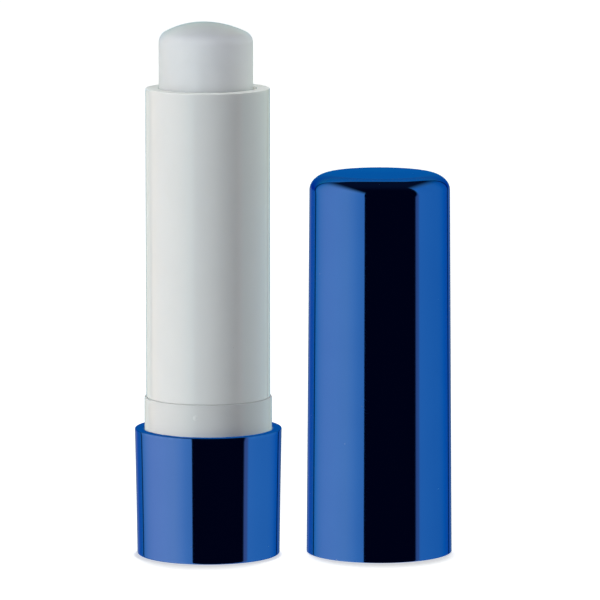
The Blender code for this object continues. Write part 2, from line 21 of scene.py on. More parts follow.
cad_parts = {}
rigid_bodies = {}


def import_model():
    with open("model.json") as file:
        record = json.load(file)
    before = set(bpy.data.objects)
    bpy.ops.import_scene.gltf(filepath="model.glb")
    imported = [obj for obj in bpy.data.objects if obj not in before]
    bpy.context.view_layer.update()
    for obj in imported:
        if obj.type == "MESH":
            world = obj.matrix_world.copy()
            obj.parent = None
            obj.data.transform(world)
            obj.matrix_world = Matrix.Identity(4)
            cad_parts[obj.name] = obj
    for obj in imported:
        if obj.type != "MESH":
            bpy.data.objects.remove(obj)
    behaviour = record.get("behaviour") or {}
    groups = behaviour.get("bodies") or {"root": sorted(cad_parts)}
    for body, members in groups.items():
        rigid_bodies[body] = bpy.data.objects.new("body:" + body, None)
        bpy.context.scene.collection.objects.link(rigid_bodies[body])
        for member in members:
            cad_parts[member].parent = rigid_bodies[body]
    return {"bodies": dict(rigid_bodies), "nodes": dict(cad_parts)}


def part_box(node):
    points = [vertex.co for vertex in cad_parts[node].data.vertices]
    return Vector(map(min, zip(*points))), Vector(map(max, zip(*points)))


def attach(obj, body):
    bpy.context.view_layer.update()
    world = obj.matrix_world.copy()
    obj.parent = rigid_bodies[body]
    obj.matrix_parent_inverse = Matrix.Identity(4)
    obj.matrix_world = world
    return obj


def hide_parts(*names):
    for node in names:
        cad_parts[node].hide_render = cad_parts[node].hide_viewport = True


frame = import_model()

Piece = bpy.types.Object
Tree = bpy.types.NodeTree
Material = bpy.types.Material
Colour = tuple[float, float, float]
Ramp = tuple[tuple[float, Colour], ...]
Place = tuple[float, ...]
Labels = dict[str, tuple[str, ...]]

LOG = logging.getLogger("lip_balm_stick")


class Body(Enum):
    """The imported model's bodies."""

    BASE = "base"
    BARREL = "barrel"
    CARRIER = "carrier"
    CAP = "cap"


class Slot(Enum):
    """The record's material slots."""

    METALLISED = "metallised_blue"
    BARREL = "barrel_white"
    INNER = "inner_white"
    BALM = "balm_wax"


class Combine(Enum):
    """What a second form does to a piece."""

    CUT = "DIFFERENCE"
    JOIN = "UNION"


# How finely the pieces are divided
ROUND_STEPS = 192
ARC_STEP = math.radians(15)
LONGEST_STRETCH = 0.0016
EDGE_SUPPORT = 0.00012
SHORT_STRETCH = 4 * EDGE_SUPPORT
CORNER_SHARE = 0.49
THREAD_ROUND = 48
THREAD_STEP = 0.0001

# How much of its width the threaded rod keeps at its tip
TIP_SHARE = 0.72

# What counts as one place, what counts as an edge, and how far cutters reach past what they cut
MERGE_DISTANCE = 0.0000005
SAME_DOT = 0.000006
SHARP_ANGLE = math.radians(38)
OVERRUN = 0.0003

# Roundings of corners, from the finest
HAIR = 0.00005
CRISP = 0.00006
NEAT = 0.00008
FINE = 0.0001
SOFT = 0.00012
FULL = 0.00015
FILLET = 0.0002
ROOT = 0.0003

# Attributes on the meshes
EDGE = "edge"
INSIDE = "inside"

# Socket types
GEOMETRY = "NodeSocketGeometry"
WHOLE = "NodeSocketInt"
NUMBER = "NodeSocketFloat"
TRIPLE = "NodeSocketVector"
FINISH = "NodeSocketMaterial"


# Outlines


@dataclass(frozen=True)
class Stop:
    """A stop on an outline: its place, its corner's rounding and its side of the wall."""

    radius: float
    height: float
    rounding: float = 0.0
    inside: bool = False


@dataclass(frozen=True)
class Dot:
    """A point of the finished line. Edge is one on a rounded corner and nought on a wall."""

    radius: float
    height: float
    edge: float
    inside: float


class Outline:
    """The line of radius and height that a turned moulding follows, down its outer side."""

    def __init__(self, *places: Place) -> None:
        """Starts with places on the outer side."""
        self.stops: list[Stop] = []
        self.on(*places)

    def on(self, *places: Place, inside: bool = False) -> "Outline":
        """Goes on to places on one side of the wall, each a radius, a height and, if rounded, its rounding."""
        self.stops += [Stop(*place, inside=inside) for place in places]
        return self

    def _corner(self, index: int) -> list[Dot]:
        """The dots that round one stop's corner.

        Args:
            index: The stop's number.

        Returns:
            One dot for a sharp stop, else an arc.
        """
        stop = self.stops[index]
        side = float(stop.inside)
        if not stop.rounding or index in (0, len(self.stops) - 1):
            return [Dot(stop.radius, stop.height, 0.0, side)]
        before, here, after = (Vector((s.radius, s.height)) for s in self.stops[index - 1 : index + 2])
        back, onward = before - here, after - here
        opening = back.angle(onward)
        reach = stop.rounding / math.tan(opening / 2)
        reach = min(reach, back.length * CORNER_SHARE, onward.length * CORNER_SHARE)
        radius = reach * math.tan(opening / 2)
        inward = (back.normalized() + onward.normalized()).normalized()
        middle = here + inward * (radius / math.sin(opening / 2))
        first = here + back.normalized() * reach - middle
        last = here + onward.normalized() * reach - middle
        turn = math.pi - opening
        across = (last - first * math.cos(turn)) / math.sin(turn)
        steps = max(2, math.ceil(turn / ARC_STEP))
        dots = []
        for step in range(steps + 1):
            angle = turn * step / steps
            place = middle + first * math.cos(angle) + across * math.sin(angle)
            dots.append(Dot(place.x, place.y, 1.0, side))
        return dots

    @staticmethod
    def _stretch(start: Dot, end: Dot) -> list[Dot]:
        """Dots between two corners, close to each corner and evenly between.

        Args:
            start: The dot before the stretch.
            end: The dot after it.

        Returns:
            The dots between, without the ends.
        """
        along, up = end.radius - start.radius, end.height - start.height
        length = math.hypot(along, up)
        if length <= SHORT_STRETCH:
            return []
        near = EDGE_SUPPORT / length
        count = math.ceil(length / LONGEST_STRETCH)
        shares = [near, *(step / count for step in range(1, count)), 1 - near]
        side = min(start.inside, end.inside)
        return [Dot(start.radius + along * share, start.height + up * share, 0.0, side) for share in shares]

    def dots(self) -> list[Dot]:
        """Every dot of the line, its corners rounded and its long stretches divided.

        Returns:
            The dots in order.
        """
        line: list[Dot] = []
        for index in range(len(self.stops)):
            corner = self._corner(index)
            if line:
                line += self._stretch(line[-1], corner[0])
            line += corner
        return line

    def mesh(self, name: str) -> bpy.types.Mesh:
        """The line as bare vertices in order, with each dot's edge and side as attributes.

        Args:
            name: The mesh's name.

        Returns:
            The mesh.
        """
        dots = self.dots()
        mesh = bpy.data.meshes.new(name)
        mesh.from_pydata([(dot.radius, 0.0, dot.height) for dot in dots], [], [])
        for label in (EDGE, INSIDE):
            values = mesh.attributes.new(label, "FLOAT", "POINT")
            values.data.foreach_set("value", [getattr(dot, label) for dot in dots])
        return mesh


def ellipse_arc(middle: Place, reach: float, rise: float, start: float, end: float, steps: int) -> list[Place]:
    """Places on an ellipse's arc, from one angle above the outward side to another, in degrees."""
    angles = [math.radians(start + (end - start) * step / steps) for step in range(steps + 1)]
    return [(middle[0] + reach * math.cos(angle), middle[1] + rise * math.sin(angle)) for angle in angles]


# Node trees


class Wire:
    """A node's output, with which sums can be written. Each sum adds a Math node to its tree."""

    def __init__(self, sheet: "Sheet", socket: bpy.types.NodeSocket) -> None:
        """Keeps the output and the sheet that it lies on."""
        self.sheet, self.socket = sheet, socket

    def __add__(self, other: "Fed") -> "Wire":
        """Adds."""
        return self.sheet.math("ADD", self, other)

    def __sub__(self, other: "Fed") -> "Wire":
        """Takes away."""
        return self.sheet.math("SUBTRACT", self, other)

    def __rsub__(self, other: "Fed") -> "Wire":
        """Is taken away from a plain value."""
        return self.sheet.math("SUBTRACT", other, self)

    def __mul__(self, other: "Fed") -> "Wire":
        """Multiplies."""
        return self.sheet.math("MULTIPLY", self, other)

    def __truediv__(self, other: "Fed") -> "Wire":
        """Divides."""
        return self.sheet.math("DIVIDE", self, other)


Fed = Wire | float | int | str | bool | tuple[float, ...]
Inputs = dict[str | int, Fed] | None


class Sheet:
    """Lays out one node tree: adds nodes, sets their fields and joins their sockets."""

    def __init__(self, tree: Tree) -> None:
        """Keeps the tree to add to."""
        self.tree = tree

    def feed(self, socket: bpy.types.NodeSocket, value: Fed) -> None:
        """Joins an input to an output, or sets it to a plain value.

        Args:
            socket: The input.
            value: An output or a plain value.
        """
        if isinstance(value, Wire):
            self.tree.links.new(value.socket, socket)
        else:
            socket.default_value = value

    def put(self, kind: str, inputs: Inputs = None, **fields: object) -> bpy.types.Node:
        """Adds a node.

        Args:
            kind: The node's type name.
            inputs: What its inputs take, by name or number.
            **fields: Properties to set on it first.

        Returns:
            The node.
        """
        made = self.tree.nodes.new(kind)
        for name, value in fields.items():
            setattr(made, name, value)
        for name, value in (inputs or {}).items():
            self.feed(made.inputs[name], value)
        return made

    def get(self, kind: str, inputs: Inputs = None, out: str | int = 0, **fields: object) -> Wire:
        """Adds a node as put does and gives one of its outputs, by name or number."""
        return Wire(self, self.put(kind, inputs, **fields).outputs[out])

    def outs(self, kind: str, inputs: Inputs = None, **fields: object) -> dict[str, Wire]:
        """Adds a node as put does and gives its outputs by name."""
        return {socket.name: Wire(self, socket) for socket in self.put(kind, inputs, **fields).outputs}

    def math(self, operation: str, *values: Fed, clamp: bool = False) -> Wire:
        """Adds a Math node, whose result can be kept between nought and one."""
        return self.get("ShaderNodeMath", dict(enumerate(values)), operation=operation, use_clamp=clamp)

    def vector(self, x: Fed, y: Fed, z: Fed) -> Wire:
        """A vector from its three parts."""
        return self.get("ShaderNodeCombineXYZ", {"X": x, "Y": y, "Z": z})

    def noise(self, place: Wire, scale: Fed, **inputs: float) -> Wire:
        """A noise texture's value."""
        return self.get("ShaderNodeTexNoise", {"Vector": place, "Scale": scale, **inputs})

    def rise(self, value: Fed, low: float, high: float, start: float = 0.0, end: float = 1.0) -> Wire:
        """A smooth step that goes from start to end while the value goes from low to high."""
        inputs = {"Value": value, "From Min": low, "From Max": high, "To Min": start, "To Max": end}
        return self.get("ShaderNodeMapRange", inputs, "Result", interpolation_type="SMOOTHSTEP")

    def blend(self, share: Fed, first: Fed, second: Fed) -> Wire:
        """A colour between two.

        Args:
            share: How much of the second.
            first: The colour at nought.
            second: The colour at one.

        Returns:
            The colour.
        """
        made = self.put("ShaderNodeMix", {"Factor": share}, data_type="RGBA")
        colours = [socket for socket in made.inputs if socket.type == "RGBA"]
        for socket, value in zip(colours, (first, second)):
            self.feed(socket, (*value, 1.0) if isinstance(value, tuple) else value)
        return Wire(self, next(socket for socket in made.outputs if socket.type == "RGBA"))


class Group(Sheet):
    """The sheet of a node group with named inputs and outputs."""

    def __init__(self, name: str, kind: str, inputs: Labels, outputs: Labels) -> None:
        """Makes the group.

        Args:
            name: The group's name.
            kind: GeometryNodeTree or ShaderNodeTree.
            inputs: The names of its inputs of each socket type.
            outputs: The names of its outputs of each socket type.
        """
        super().__init__(bpy.data.node_groups.new(name, kind))
        for way, kinds in (("INPUT", inputs), ("OUTPUT", outputs)):
            for socket_type, labels in kinds.items():
                for label in labels:
                    self.tree.interface.new_socket(name=label, in_out=way, socket_type=socket_type)
        self.given = self.outs("NodeGroupInput")
        self.out = self.put("NodeGroupOutput").inputs


class Growth(Group):
    """The sheet of a geometry tree that makes a form and gives its two sides their materials."""

    def __init__(self, name: str, inputs: Labels) -> None:
        """Makes the tree.

        Args:
            name: The tree's name.
            inputs: The names of its own inputs of each socket type.
        """
        shared = {GEOMETRY: ("Geometry",), FINISH: ("Material", "Inner Material")}
        super().__init__(name, "GeometryNodeTree", {**shared, **inputs}, {GEOMETRY: ("Geometry",)})
        self.index = self.get("GeometryNodeInputIndex")

    def named(self, label: str) -> Wire:
        """A number that the mesh carries under a name."""
        return self.get("GeometryNodeInputNamedAttribute", {"Name": label}, "Attribute", data_type="FLOAT")

    def stored(self, shape: Wire, label: str, value: Wire, domain: str) -> Wire:
        """The shape with a number stored under a name, on its points or faces."""
        inputs = {"Geometry": shape, "Name": label, "Value": value}
        return self.get("GeometryNodeStoreNamedAttribute", inputs, data_type="FLOAT", domain=domain)

    def grid(self, rows: Wire, steps: Wire) -> tuple[Wire, Wire, Wire]:
        """A grid to be wrapped round an axis.

        Args:
            rows: How many vertices each station has.
            steps: How many parts a whole turn has.

        Returns:
            The grid, and each vertex's station and row.
        """
        mesh = self.get("GeometryNodeMeshGrid", {"Vertices X": steps + 1, "Vertices Y": rows})
        station = self.math("FLOOR", (self.index + 0.5) / rows)
        return mesh, station, self.index - station * rows

    def wrapped(self, mesh: Wire, radius: Wire, angle: Wire, height: Wire) -> Wire:
        """Moves a mesh's vertices round the Z axis and merges those that meet.

        Args:
            mesh: The mesh.
            radius: Each vertex's distance from the axis.
            angle: Its direction.
            height: Its height.

        Returns:
            The closed form.
        """
        place = self.vector(radius * self.math("COSINE", angle), radius * self.math("SINE", angle), height)
        moved = self.get("GeometryNodeSetPosition", {"Geometry": mesh, "Position": place})
        return self.get("GeometryNodeMergeByDistance", {"Geometry": moved, "Distance": MERGE_DISTANCE})

    def copies(self, shape: Wire) -> Wire:
        """Copies of a form, made real, round the Z axis.

        Args:
            shape: The form, in its place on the +X side.

        Returns:
            As many copies as the tree's Count, the first one at its First Angle.
        """
        points = self.get("GeometryNodePoints", {"Count": self.given["Count"]})
        angle = self.index * math.tau / self.given["Count"] + self.given["First Angle"]
        rotation = self.get("FunctionNodeEulerToRotation", {"Euler": self.vector(0.0, 0.0, angle)})
        inputs = {"Points": points, "Instance": shape, "Rotation": rotation}
        placed = self.get("GeometryNodeInstanceOnPoints", inputs)
        return self.get("GeometryNodeRealizeInstances", {"Geometry": placed})

    def finish(self, shape: Wire) -> Tree:
        """Ends the tree: instances made real, shaded smooth, and each side given its material.

        Args:
            shape: What the tree has made.

        Returns:
            The tree.
        """
        real = self.get("GeometryNodeRealizeInstances", {"Geometry": shape})
        smooth = self.get("GeometryNodeSetShadeSmooth", {"Geometry": real, "Shade Smooth": True})
        dressed = self.get("GeometryNodeSetMaterial", {"Geometry": smooth, "Material": self.given["Material"]})
        inner = self.math("GREATER_THAN", self.named(INSIDE), 0.5)
        inputs = {"Geometry": dressed, "Selection": inner, "Material": self.given["Inner Material"]}
        self.feed(self.out["Geometry"], self.get("GeometryNodeSetMaterial", inputs))
        return self.tree


@cache
def turning_tree() -> Tree:
    """Turns a line of vertices about the Z axis.

    Returns:
        The tree. Steps is how many parts a turn has.
    """
    sheet = Growth("turn_outline", {WHOLE: ("Steps",)})
    line, steps = sheet.given["Geometry"], sheet.given["Steps"]
    count = sheet.get("GeometryNodeAttributeDomainSize", {"Geometry": line}, "Point Count")
    shape, station, dot = sheet.grid(count, steps)

    def sampled(value: Wire, data_type: str) -> Wire:
        """The line's value at this vertex's dot."""
        inputs = {"Geometry": line, "Value": value, "Index": dot}
        return sheet.get("GeometryNodeSampleIndex", inputs, data_type=data_type)

    here = sampled(sheet.get("GeometryNodeInputPosition"), "FLOAT_VECTOR")
    place = sheet.outs("ShaderNodeSeparateXYZ", {"Vector": here})
    for label in (EDGE, INSIDE):
        shape = sheet.stored(shape, label, sampled(sheet.named(label), "FLOAT"), "POINT")
    # The side is kept for each face, which a later cut or join carries over
    shape = sheet.stored(shape, INSIDE, sheet.named(INSIDE), "FACE")
    return sheet.finish(sheet.wrapped(shape, place["X"], station * math.tau / steps, place["Z"]))


@cache
def block_tree(kind: Combine) -> Tree:
    """Cuts or joins equal blocks set round the Z axis.

    Args:
        kind: Whether the blocks are cut out or joined on.

    Returns:
        The tree, with inputs for the blocks' count, first angle, size, place and side.
    """
    inputs = {
        WHOLE: ("Count",),
        NUMBER: ("First Angle", "Block Inside"),
        TRIPLE: ("Block Size", "Block Middle"),
    }
    sheet = Growth(f"blocks_{kind.name.lower()}", inputs)
    block = sheet.get("GeometryNodeMeshCube", {"Size": sheet.given["Block Size"]})
    sided = sheet.stored(block, INSIDE, sheet.given["Block Inside"], "FACE")
    moved = sheet.get("GeometryNodeTransform", {"Geometry": sided, "Translation": sheet.given["Block Middle"]})
    combined = sheet.put("GeometryNodeMeshBoolean", operation=kind.value, solver="EXACT")
    whole = "Mesh 1" if kind is Combine.CUT else "Mesh 2"
    sheet.feed(combined.inputs[whole], sheet.given["Geometry"])
    sheet.feed(combined.inputs["Mesh 2"], sheet.copies(moved))
    return sheet.finish(Wire(sheet, combined.outputs["Mesh"]))


@cache
def thread_tree() -> Tree:
    """Makes a left-handed threaded rod along the Z axis, plain for a short run at each end.

    Returns:
        The tree. Its inputs are the thread's sizes, the rod's ends and how finely it is divided.
    """
    sizes = ("Lead", "Root Radius", "Crest Radius", "Crest Land", "Flank", "First Crest", "Bottom", "Top", "Run Out")
    sheet = Growth("left_hand_thread", {NUMBER: sizes, WHOLE: ("Steps Round", "Steps Along")})
    given = sheet.given
    bottom, top, run_out = given["Bottom"], given["Top"], given["Run Out"]
    # Row nought and the last row lie on the axis and close the ends
    rows = given["Steps Along"] + 3
    mesh, station, row = sheet.grid(rows, given["Steps Round"])
    turn = station / given["Steps Round"]
    share = sheet.math("DIVIDE", row - 1.0, given["Steps Along"], clamp=True)
    height = bottom + share * (top - bottom)
    phase = (height - given["First Crest"]) / given["Lead"] + turn
    off_crest = sheet.math("ABSOLUTE", phase - sheet.math("ROUND", phase)) * given["Lead"]
    fallen = sheet.math("DIVIDE", off_crest - given["Crest Land"] / 2.0, given["Flank"], clamp=True)
    # The thread fades out towards both ends
    to_top = sheet.math("DIVIDE", top - height, run_out, clamp=True)
    to_foot = sheet.math("DIVIDE", height - bottom, run_out, clamp=True)
    depth = given["Crest Radius"] - given["Root Radius"]
    crest = depth * ((1.0 - fallen) * sheet.math("MINIMUM", to_top, to_foot))
    shrink = sheet.math("ADD", TIP_SHARE, to_top * (1.0 - TIP_SHARE))
    off_axis = sheet.math("GREATER_THAN", row, 0.5) * sheet.math("LESS_THAN", row, rows - 1.5)
    radius = (given["Root Radius"] + crest) * shrink * off_axis
    return sheet.finish(sheet.wrapped(mesh, radius, turn * math.tau, height))


@cache
def nub_tree() -> Tree:
    """Makes shallow nubs round a collar, each bent to its curve and sunk a little into it.

    Returns:
        The tree, with inputs for the count, the first angle and the sizes.
    """
    inputs = {
        NUMBER: ("First Angle", "Collar Radius", "Nub Width", "Nub Height", "Nub Middle", "Sink"),
        WHOLE: ("Count", "Rings", "Steps"),
    }
    sheet = Growth("collar_nubs", inputs)
    given = sheet.given
    # Rows run from the nub's top out to its foot, and the last one lies under its middle
    rows = given["Rings"] + 2
    mesh, station, row = sheet.grid(rows, given["Steps"])
    under = sheet.math("GREATER_THAN", row, given["Rings"] + 0.5)
    share = row / given["Rings"] * (1.0 - under)
    bell = (sheet.math("COSINE", share * math.pi) + 1.0) / 2.0
    stand = bell * given["Nub Height"] * (1.0 - under)
    radius = given["Collar Radius"] + stand - under * given["Sink"]
    round_nub = station * math.tau / given["Steps"]
    reach = share * (given["Nub Width"] / 2.0)
    angle = reach * sheet.math("COSINE", round_nub) / given["Collar Radius"]
    height = given["Nub Middle"] + reach * sheet.math("SINE", round_nub)
    return sheet.finish(sheet.copies(sheet.wrapped(mesh, radius, angle, height)))


# From trees to plain meshes


@dataclass(frozen=True)
class Sides:
    """The materials of a piece's outer and inner side."""

    outer: Material
    inner: Material


@dataclass(frozen=True)
class BlockRing:
    """Equal blocks round an axis, cut out or joined on: how many, where the first stands and how far each reaches."""

    kind: Combine
    count: int
    first: float
    inner: float
    outer: float
    width: float
    low: float
    high: float
    inside: bool = False

    def inputs(self) -> dict[str, object]:
        """What the tree of blocks takes.

        Returns:
            Each input's value.
        """
        return {
            "Count": self.count,
            "First Angle": self.first,
            "Block Size": (self.outer - self.inner, self.width, self.high - self.low),
            "Block Middle": ((self.outer + self.inner) / 2, 0.0, (self.high + self.low) / 2),
            "Block Inside": float(self.inside),
        }


def raw_object(name: str, mesh: bpy.types.Mesh | None = None) -> Piece:
    """A new object in the scene.

    Args:
        name: Its name.
        mesh: Its mesh. Without one it gets an empty mesh.

    Returns:
        The object.
    """
    obj = bpy.data.objects.new(name, mesh or bpy.data.meshes.new(name))
    bpy.context.scene.collection.objects.link(obj)
    return obj


def settle(obj: Piece) -> Piece:
    """Turns an object, with its modifiers, into a plain mesh.

    Args:
        obj: The object.

    Returns:
        The object, its faces pointing outwards, with only the materials that they wear.
    """
    bpy.context.view_layer.update()
    graph = bpy.context.evaluated_depsgraph_get()
    mesh = bpy.data.meshes.new_from_object(obj.evaluated_get(graph), preserve_all_data_layers=True, depsgraph=graph)
    obj.modifiers.clear()
    obj.data = mesh
    mesh.name = obj.name
    shape = bmesh.new()
    shape.from_mesh(mesh)
    if shape.calc_volume(signed=True) < 0:
        bmesh.ops.reverse_faces(shape, faces=shape.faces)
    shape.to_mesh(mesh)
    shape.free()
    worn = [mesh.materials[face.material_index] for face in mesh.polygons]
    kept = {material: place for place, material in enumerate(dict.fromkeys(worn))}
    mesh.materials.clear()
    for material in kept:
        mesh.materials.append(material)
    mesh.polygons.foreach_set("material_index", [kept[material] for material in worn])
    mesh.shade_smooth()
    mesh.set_sharp_from_angle(angle=SHARP_ANGLE)
    return obj


def grown(obj: Piece, tree: Tree, side: Sides, **inputs: object) -> Piece:
    """Runs a geometry tree over an object and keeps the result as its plain mesh.

    Args:
        obj: The object, whose mesh goes in.
        tree: The geometry tree.
        side: The materials.
        **inputs: Values of the tree's other inputs, with underscores for spaces.

    Returns:
        The object, with no modifier left.
    """
    modifier = obj.modifiers.new(tree.name, "NODES")
    modifier.node_group = tree
    sockets = {item.name: item.identifier for item in tree.interface.items_tree if item.in_out == "INPUT"}
    for label, value in {**inputs, "Material": side.outer, "Inner Material": side.inner}.items():
        modifier[sockets[label.replace("_", " ")]] = value
    return settle(obj)


def combine(piece: Piece, other: Piece, kind: Combine) -> None:
    """Cuts a piece with another form, or joins the two, and removes the other.

    Args:
        piece: What is changed.
        other: The second form.
        kind: Whether it is cut out or joined on.
    """
    modifier = piece.modifiers.new(other.name, "BOOLEAN")
    modifier.object = other
    modifier.operation = kind.value
    modifier.solver = "EXACT"
    settle(piece)
    bpy.data.objects.remove(other, do_unlink=True)


@dataclass(frozen=True)
class Workshop:
    """Makes pieces and puts them on one axis, which is kept as where it meets the ground."""

    axis: Vector

    def moulded(self, name: str, outline: Outline, side: Sides, *forms: BlockRing | tuple[Piece, Combine]) -> Piece:
        """Turns an outline and then cuts or joins other forms.

        Args:
            name: The piece's name.
            outline: Its outline.
            side: Its materials.
            *forms: Rings of blocks, or ready forms and what each does, in order.

        Returns:
            The piece, about the world's Z axis.
        """
        piece = grown(raw_object(name, outline.mesh(name)), turning_tree(), side, Steps=ROUND_STEPS)
        for form in forms:
            if isinstance(form, BlockRing):
                grown(piece, block_tree(form.kind), side, **form.inputs())
            else:
                combine(piece, *form)
        if forms:
            self._mark(piece, outline)
        return piece

    @staticmethod
    def _mark(piece: Piece, outline: Outline) -> None:
        """Marks the rounded edges again after cuts and joins, which don't carry the marks over.

        Args:
            piece: The piece, still about the world's Z axis.
            outline: The outline that it was turned from.
        """
        dots = outline.dots()
        places = KDTree(len(dots))
        for index, dot in enumerate(dots):
            places.insert((dot.radius, 0.0, dot.height), index)
        places.balance()
        found = [places.find((math.hypot(v.co.x, v.co.y), 0.0, v.co.z)) for v in piece.data.vertices]
        edges = [dots[index].edge if off < SAME_DOT else 0.0 for _, index, off in found]
        attributes = piece.data.attributes
        if EDGE in attributes:
            attributes.remove(attributes[EDGE])
        attributes.new(EDGE, "FLOAT", "POINT").data.foreach_set("value", edges)

    def placed(self, piece: Piece, body: Body, slot: Slot, replaced: str | None = None) -> Piece:
        """Puts a finished piece on its axis, seats it on its body and reports it.

        Args:
            piece: The piece.
            body: The body that it rides on.
            slot: The record's material slot. It is not used.
            replaced: The CAD node that it stands for.

        Returns:
            The piece.
        """
        piece.data.transform(Matrix.Translation(self.axis))
        piece.visible_glossy = False
        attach(piece, body.value)
        if replaced:
            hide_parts(replaced)
        faces = sum(len(face.vertices) - 2 for face in piece.data.polygons)
        LOG.info("%s on %s: %d triangles", piece.name, body.value, faces)
        return piece


# Finishes

# Where each smooth step from nothing to a full mark begins and ends
PATCH_STEP = (0.3, 0.7)
SCRATCH_STEP = (0.68, 0.74)
SPECK_STEP = (0.045, 0.075)
EDGE_STEP = (0.3, 1.0)
WORN_STEP = (0.35, 0.65)
LEVEL_STEP = (0.55, 0.85)

# How noise is turned and squeezed into each set of scratches, and how close specks can lie
SCRATCHES = (((0.4, 0.3, 0.9), (9000.0, 9000.0, 170.0)), ((1.2, 0.2, 2.1), (11000.0, 11000.0, 240.0)))
SPECK_SCALE = 900.0


def shared_group(name: str, numbers: tuple[str, ...], outputs: tuple[str, ...]) -> Group:
    """A shader group that takes a place and some numbers, and gives numbers."""
    return Group(name, "ShaderNodeTree", {TRIPLE: ("Place",), NUMBER: numbers}, {NUMBER: outputs})


@cache
def grain_group() -> Tree:
    """Fine grain and slow patches, as a moulded or poured surface has.

    Returns:
        The group: Place, Grain Scale and Patch Scale in, Height and Patch out.
    """
    sheet = shared_group("surface_grain", ("Grain Scale", "Patch Scale"), ("Height", "Patch"))
    place = sheet.given["Place"]
    slow = sheet.noise(place, sheet.given["Patch Scale"], Detail=2.0, Distortion=0.4)
    sheet.feed(sheet.out["Height"], sheet.noise(place, sheet.given["Grain Scale"], Detail=3.0, Roughness=0.6))
    sheet.feed(sheet.out["Patch"], sheet.rise(slow, *PATCH_STEP))
    return sheet.tree


@cache
def handling_group() -> Tree:
    """Hairline scratches in two directions and specks of dust, as handling leaves.

    Returns:
        The group: Place, Scratches and Dust in, Scratch and Speck masks out.
    """
    sheet = shared_group("handling_marks", ("Scratches", "Dust"), ("Scratch", "Speck"))
    place = sheet.given["Place"]
    lines = []
    for turn, squeeze in SCRATCHES:
        laid = sheet.get("ShaderNodeMapping", {"Vector": place, "Rotation": turn, "Scale": squeeze})
        lines.append(sheet.rise(sheet.noise(laid, 1.0, Detail=1.0), *SCRATCH_STEP))
    both = sheet.math("MAXIMUM", *lines)
    sheet.feed(sheet.out["Scratch"], sheet.math("MULTIPLY", both, sheet.given["Scratches"], clamp=True))
    cells = sheet.outs("ShaderNodeTexVoronoi", {"Vector": place, "Scale": SPECK_SCALE, "Randomness": 1.0})
    dot = sheet.rise(cells["Distance"], *SPECK_STEP, 1.0, 0.0)
    pick = sheet.get("ShaderNodeSeparateColor", {"Color": cells["Color"]})
    sheet.feed(sheet.out["Speck"], dot * sheet.math("LESS_THAN", pick, sheet.given["Dust"]))
    return sheet.tree


@cache
def edge_group() -> Tree:
    """Where a rounded edge is rubbed, from the mesh's own edge attribute broken up by noise.

    Returns:
        The group: Place and Break Scale in, Rubbed out.
    """
    sheet = shared_group("rubbed_edges", ("Break Scale",), ("Rubbed",))
    edge = sheet.get("ShaderNodeAttribute", out="Fac", attribute_name=EDGE, attribute_type="GEOMETRY")
    broken = sheet.noise(sheet.given["Place"], sheet.given["Break Scale"], Detail=3.0)
    sheet.feed(sheet.out["Rubbed"], sheet.rise(edge, *EDGE_STEP) * sheet.rise(broken, *WORN_STEP))
    return sheet.tree


